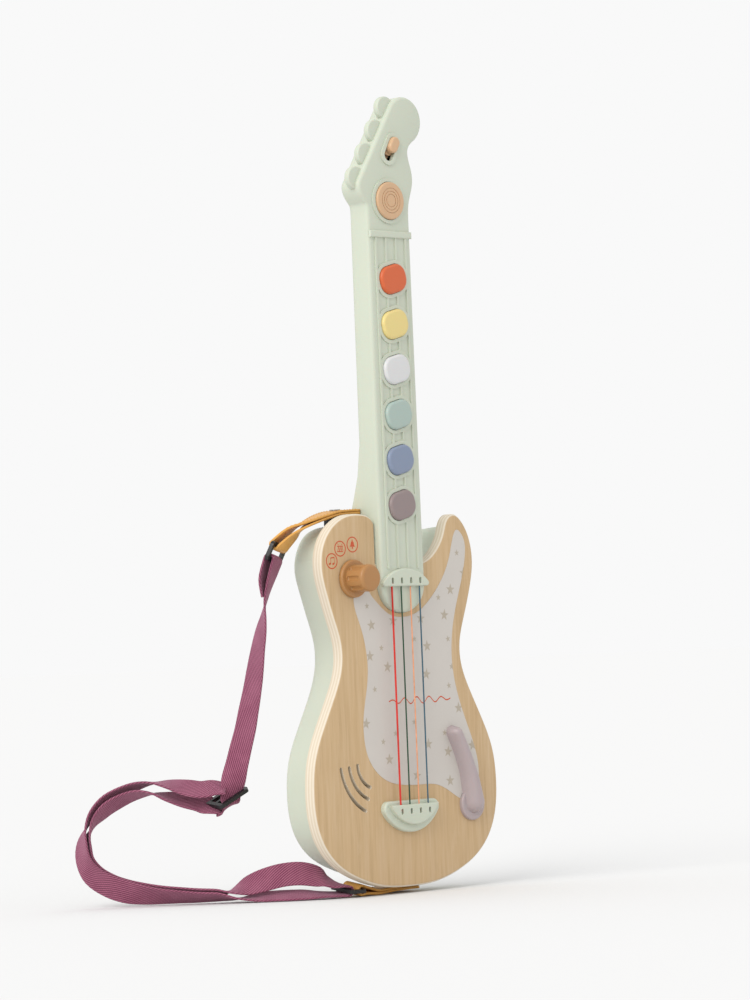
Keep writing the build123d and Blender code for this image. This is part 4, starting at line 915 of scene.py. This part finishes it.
def length_of(frames):
    return sum((b[0] - a[0]).length for a, b in zip(frames, frames[1:]))


def section(width, thickness, crown):
    """Half-rounded strip section as (across, outward) pairs, all the way round."""
    half, thick = width / 2, thickness / 2
    flats = [-1.0, -0.93, -0.7, -0.35, 0.0, 0.35, 0.7, 0.93, 1.0]
    reach = half - thick * 0.55
    top = [(f * reach, thick + crown * (1 - f * f)) for f in flats]
    bottom = [(f * reach, -thick - crown * (1 - f * f)) for f in reversed(flats)]
    right = [(reach + thick * 0.4, thick * 0.72), (half, 0.0), (reach + thick * 0.4, -thick * 0.72)]
    left = [(-x, -z) for x, z in right]
    return top + right + bottom + left


def strip(name, frames, width, thickness, material, node, crown=0.0, ripple=0.0):
    """A flat strap along the frames, with a flat map in metres for its weave."""
    mesh = bmesh.new()
    flat = mesh.loops.layers.uv.new("flat")
    profile = section(width, thickness, crown)
    count = len(profile)
    round_way = [0.0]
    for a, b in zip(profile, profile[1:] + profile[:1]):
        round_way.append(round_way[-1] + math.dist(a, b))
    rings, distance, ways = [], 0.0, []
    for i, (point, along, across, outward) in enumerate(frames):
        if i:
            distance += (point - frames[i - 1][0]).length
        ways.append(distance)
        ring = []
        for x, z in profile:
            wave = ripple * noise.noise(Vector((distance * 0.07, x * 0.15, 3.1)))
            ring.append(mesh.verts.new((point + across * x + outward * (z + wave)) * MM
                                       + Vector((0, 0, LIFT * MM))))
        rings.append(ring)
    for i in range(len(rings) - 1):
        for k in range(count):
            j = (k + 1) % count
            face = mesh.faces.new((rings[i][k], rings[i][j], rings[i + 1][j], rings[i + 1][k]))
            face.smooth = True
            marks = ((round_way[k], ways[i]), (round_way[k + 1], ways[i]),
                     (round_way[k + 1], ways[i + 1]), (round_way[k], ways[i + 1]))
            for loop, mark in zip(face.loops, marks):
                loop[flat].uv = (mark[0] * MM, mark[1] * MM)
    mesh.faces.new(rings[0][::-1])
    mesh.faces.new(rings[-1])
    bmesh.ops.recalc_face_normals(mesh, faces=mesh.faces)
    piece = mesh_piece(name, mesh, material)
    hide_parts(node)
    return piece


def tab_stations(path, sides, spread, centre, across, along):
    """Stations of a leather strip doubled over round a ring's near bar."""
    path = [Vector(p) for p in path]
    sides = [Vector(p) for p in sides]
    top = spread_out(path, sides, spread)
    low = spread_out(path, sides, [-a for a in spread])
    bar = centre - along * BAR_OFFSET
    bend = turn(bar, across.cross(along), across, BAR_CLEAR + TAB_T / 2)
    return top + bend + low[::-1], sides + [across] * len(bend) + sides[::-1]


def upper_webbing_stations():
    bar = UPPER_CENTRE + UPPER_ALONG * BAR_OFFSET
    bend = turn(bar, UPPER_ACROSS.cross(UPPER_ALONG), -UPPER_ACROSS, BAR_CLEAR + WEB_T / 2)
    points = [strap_way(*p) for p, w in SEWN_END] + bend + [strap_way(*p) for p, w in DROP]
    sides = ([strap_way(*w) for p, w in SEWN_END] + [UPPER_ACROSS] * len(bend)
             + [strap_way(*w) for p, w in DROP])
    return points, sides


def lower_webbing_stations():
    loop = [strap_way(*p) for p, w, g in LOOP]
    loop_sides = [strap_way(*w) for p, w, g in LOOP]
    gaps = [g for p, w, g in LOOP]
    outer = spread_out(loop, loop_sides, gaps)
    inner = spread_out(loop, loop_sides, [-g for g in gaps])
    bar = LOWER_CENTRE + LOWER_ALONG * BAR_OFFSET
    bend = turn(bar, LOWER_ALONG.cross(LOWER_ACROSS), LOWER_ACROSS, BAR_CLEAR + WEB_T / 2)
    points = [strap_way(*p) for p, w in LAP] + outer
    points += [strap_way(*p) for p, w in OUTER_END] + bend
    sides = [strap_way(*w) for p, w in LAP] + loop_sides
    sides += [strap_way(*w) for p, w in OUTER_END] + [LOWER_ACROSS] * len(bend)
    points += [strap_way(*p) for p, w in INNER_END] + inner[::-1]
    points += [strap_way(*p) for p, w in INNER_TAIL]
    sides += [strap_way(*w) for p, w in INNER_END] + loop_sides[::-1]
    sides += [strap_way(*w) for p, w in INNER_TAIL]
    return points, sides


def stitch(mesh, start, end, lift, radius=0.00022):
    """One raised stitch: a small humped thread between two points."""
    ring_count, sides = 5, 6
    along = (end - start).normalized()
    side = along.cross(lift).normalized()
    up = side.cross(along).normalized()
    rows = []
    for i in range(ring_count):
        share = i / (ring_count - 1)
        hump = math.sin(math.pi * share)
        middle = start.lerp(end, share) + up * (radius * (1.5 * hump - 0.6))
        size = radius * (0.55 + 0.45 * hump)
        row = []
        for k in range(sides):
            angle = 2 * math.pi * k / sides
            row.append(mesh.verts.new(middle + side * (size * math.cos(angle))
                                      + up * (size * math.sin(angle))))
        rows.append(row)
    for a, b in zip(rows, rows[1:]):
        for k in range(sides):
            j = (k + 1) % sides
            face = mesh.faces.new((a[k], a[j], b[j], b[k]))
            face.smooth = True
    mesh.faces.new(rows[0][::-1])
    mesh.faces.new(rows[-1])


def on_strip(frames, distance, across_at, height):
    """Point on a strip's face at a distance along it, and the face's outward direction."""
    gone = 0.0
    for a, b in zip(frames, frames[1:]):
        step = (b[0] - a[0]).length
        if gone + step >= distance:
            share = (distance - gone) / step
            point = a[0].lerp(b[0], share)
            across = a[2].lerp(b[2], share).normalized()
            outward = a[3].lerp(b[3], share).normalized()
            spot = point + across * across_at + outward * height
            return spot * MM + Vector((0, 0, LIFT * MM)), outward
        gone += step
    point, along, across, outward = frames[-1]
    return (point + across * across_at + outward * height) * MM + Vector((0, 0, LIFT * MM)), outward


STITCH_START, STITCH_END = 0.14, 0.86     # the thread shows for this part of each stitch
WEB_PITCH, TAB_PITCH = 2.6, 3.0
WEB_FACE, TAB_FACE = WEB_T / 2 + 0.1, TAB_T / 2 + TAB_CROWN
BOX_HALF = 7.4
TAB_EDGE = 8.2
TAB_SEAM_START, TAB_SEAM_LEFT = 2.0, 20.0     # from the tab's end, and from its middle


def stitch_row(mesh, frames, first, last, across_first, across_last, height, pitch=WEB_PITCH):
    """A row of stitches between two spots on a strip's face."""
    run = math.hypot(last - first, across_last - across_first)
    count = max(1, int(run / pitch))
    for i in range(count):
        ends = []
        for share in ((i + STITCH_START) / count, (i + STITCH_END) / count):
            ends.append(on_strip(frames, first + (last - first) * share,
                                 across_first + (across_last - across_first) * share, height))
        lift = ends[0][1] if height > 0 else -ends[0][1]
        stitch(mesh, ends[0][0], ends[1][0], lift)


def box_stitch(mesh, frames, first, last, half, height):
    """A sewn rectangle with its diagonals."""
    for edge in (-half, half):
        stitch_row(mesh, frames, first, last, edge, edge, height)
    for cut in (first, last):
        stitch_row(mesh, frames, cut, cut, -half, half, height)
    stitch_row(mesh, frames, first, last, -half, half, height)
    stitch_row(mesh, frames, first, last, half, -half, height)


def make_strap():
    """Two lengths of webbing and two leather tabs, each with its sewing."""
    cloth = webbing_cloth()
    leather = tan_leather()
    plum_thread = thread("plum_thread", srgb(176, 110, 136))
    tan_thread = thread("tan_thread", srgb(222, 180, 112))

    points, sides = upper_webbing_stations()
    upper_way = frames_of(*smooth_way(points, sides))
    upper = strip("strap_upper", upper_way, WEB_W, WEB_T, cloth, "webbing_upper",
                  crown=WEB_CROWN, ripple=0.25)
    upper_seams = bmesh.new()
    box_stitch(upper_seams, upper_way, 2.0, 13.0, BOX_HALF, WEB_FACE)
    upper_thread = mesh_piece("strap_upper_thread", upper_seams, plum_thread)

    points, sides = lower_webbing_stations()
    lower_way = frames_of(*smooth_way(points, sides))
    lower = strip("strap_lower", lower_way, WEB_W, WEB_T, cloth, "webbing_lower",
                  crown=WEB_CROWN, ripple=0.2)
    lower_seams = bmesh.new()
    whole = length_of(lower_way)
    for first, last in ((3.0, 15.0), (whole - 15.0, whole - 3.0)):
        box_stitch(lower_seams, lower_way, first, last, BOX_HALF, WEB_FACE)
    lower_thread = mesh_piece("strap_lower_thread", lower_seams, plum_thread)

    tabs = (("upper_tab", UPPER_TAB, UPPER_TAB_SIDES, UPPER_SPREAD, UPPER_CENTRE, UPPER_ACROSS,
             UPPER_ALONG, "upper_ring", "stretched"),
            ("lower_tab", LOWER_TAB, LOWER_TAB_SIDES, LOWER_SPREAD, LOWER_CENTRE, LOWER_ACROSS,
             LOWER_ALONG, "lower_ring", "folded"))
    for node, path, turned, spread, centre, across, along, ring, held in tabs:
        points, sides = tab_stations(path, turned, spread, centre, across, along)
        way = frames_of(*smooth_way(points, sides), square=False)
        tab = strip(node + "_leather", way, TAB_W, TAB_T, leather, node,
                    crown=TAB_CROWN, ripple=0.12)
        seams = bmesh.new()
        seam_end = length_of(way) / 2 - TAB_SEAM_LEFT
        for edge in (-TAB_EDGE, TAB_EDGE):
            stitch_row(seams, way, TAB_SEAM_START, seam_end, edge, edge, TAB_FACE, TAB_PITCH)
        stitch_row(seams, way, seam_end, seam_end, -TAB_EDGE, TAB_EDGE, TAB_FACE, TAB_PITCH)
        sewing = mesh_piece(node + "_thread", seams, tan_thread)


# ------------------------------------------------------------------ floor
FLOOR_RADIUS = 30.0
FLOOR_DROP = 0.0002             # keeps the floor just clear of the parts that stand on it


def make_floor():
    """Wide pale floor, as bright in this light as the surroundings."""
    mesh = bmesh.new()
    bmesh.ops.create_circle(mesh, cap_ends=True, segments=96, radius=FLOOR_RADIUS)
    data = bpy.data.meshes.new("floor")
    mesh.to_mesh(data)
    mesh.free()
    floor = bpy.data.objects.new("floor", data)
    bpy.context.scene.collection.objects.link(floor)
    floor.location.z = -FLOOR_DROP
    made = Shader("studio_floor", (FLOOR_SHADE, FLOOR_SHADE, FLOOR_SHADE), 1.0, specular=0.0)
    data.materials.append(made.material)


make_camera()
make_lights()
mauve = dress_nodes()
make_lever(mauve)
star_ink = print_ink("star_ink", srgb(176, 166, 150))
red_ink = print_ink("red_ink", srgb(196, 84, 48))
star_print(star_ink)
icon_print(red_ink)
wave_print(red_ink)
make_strap()
make_floor()
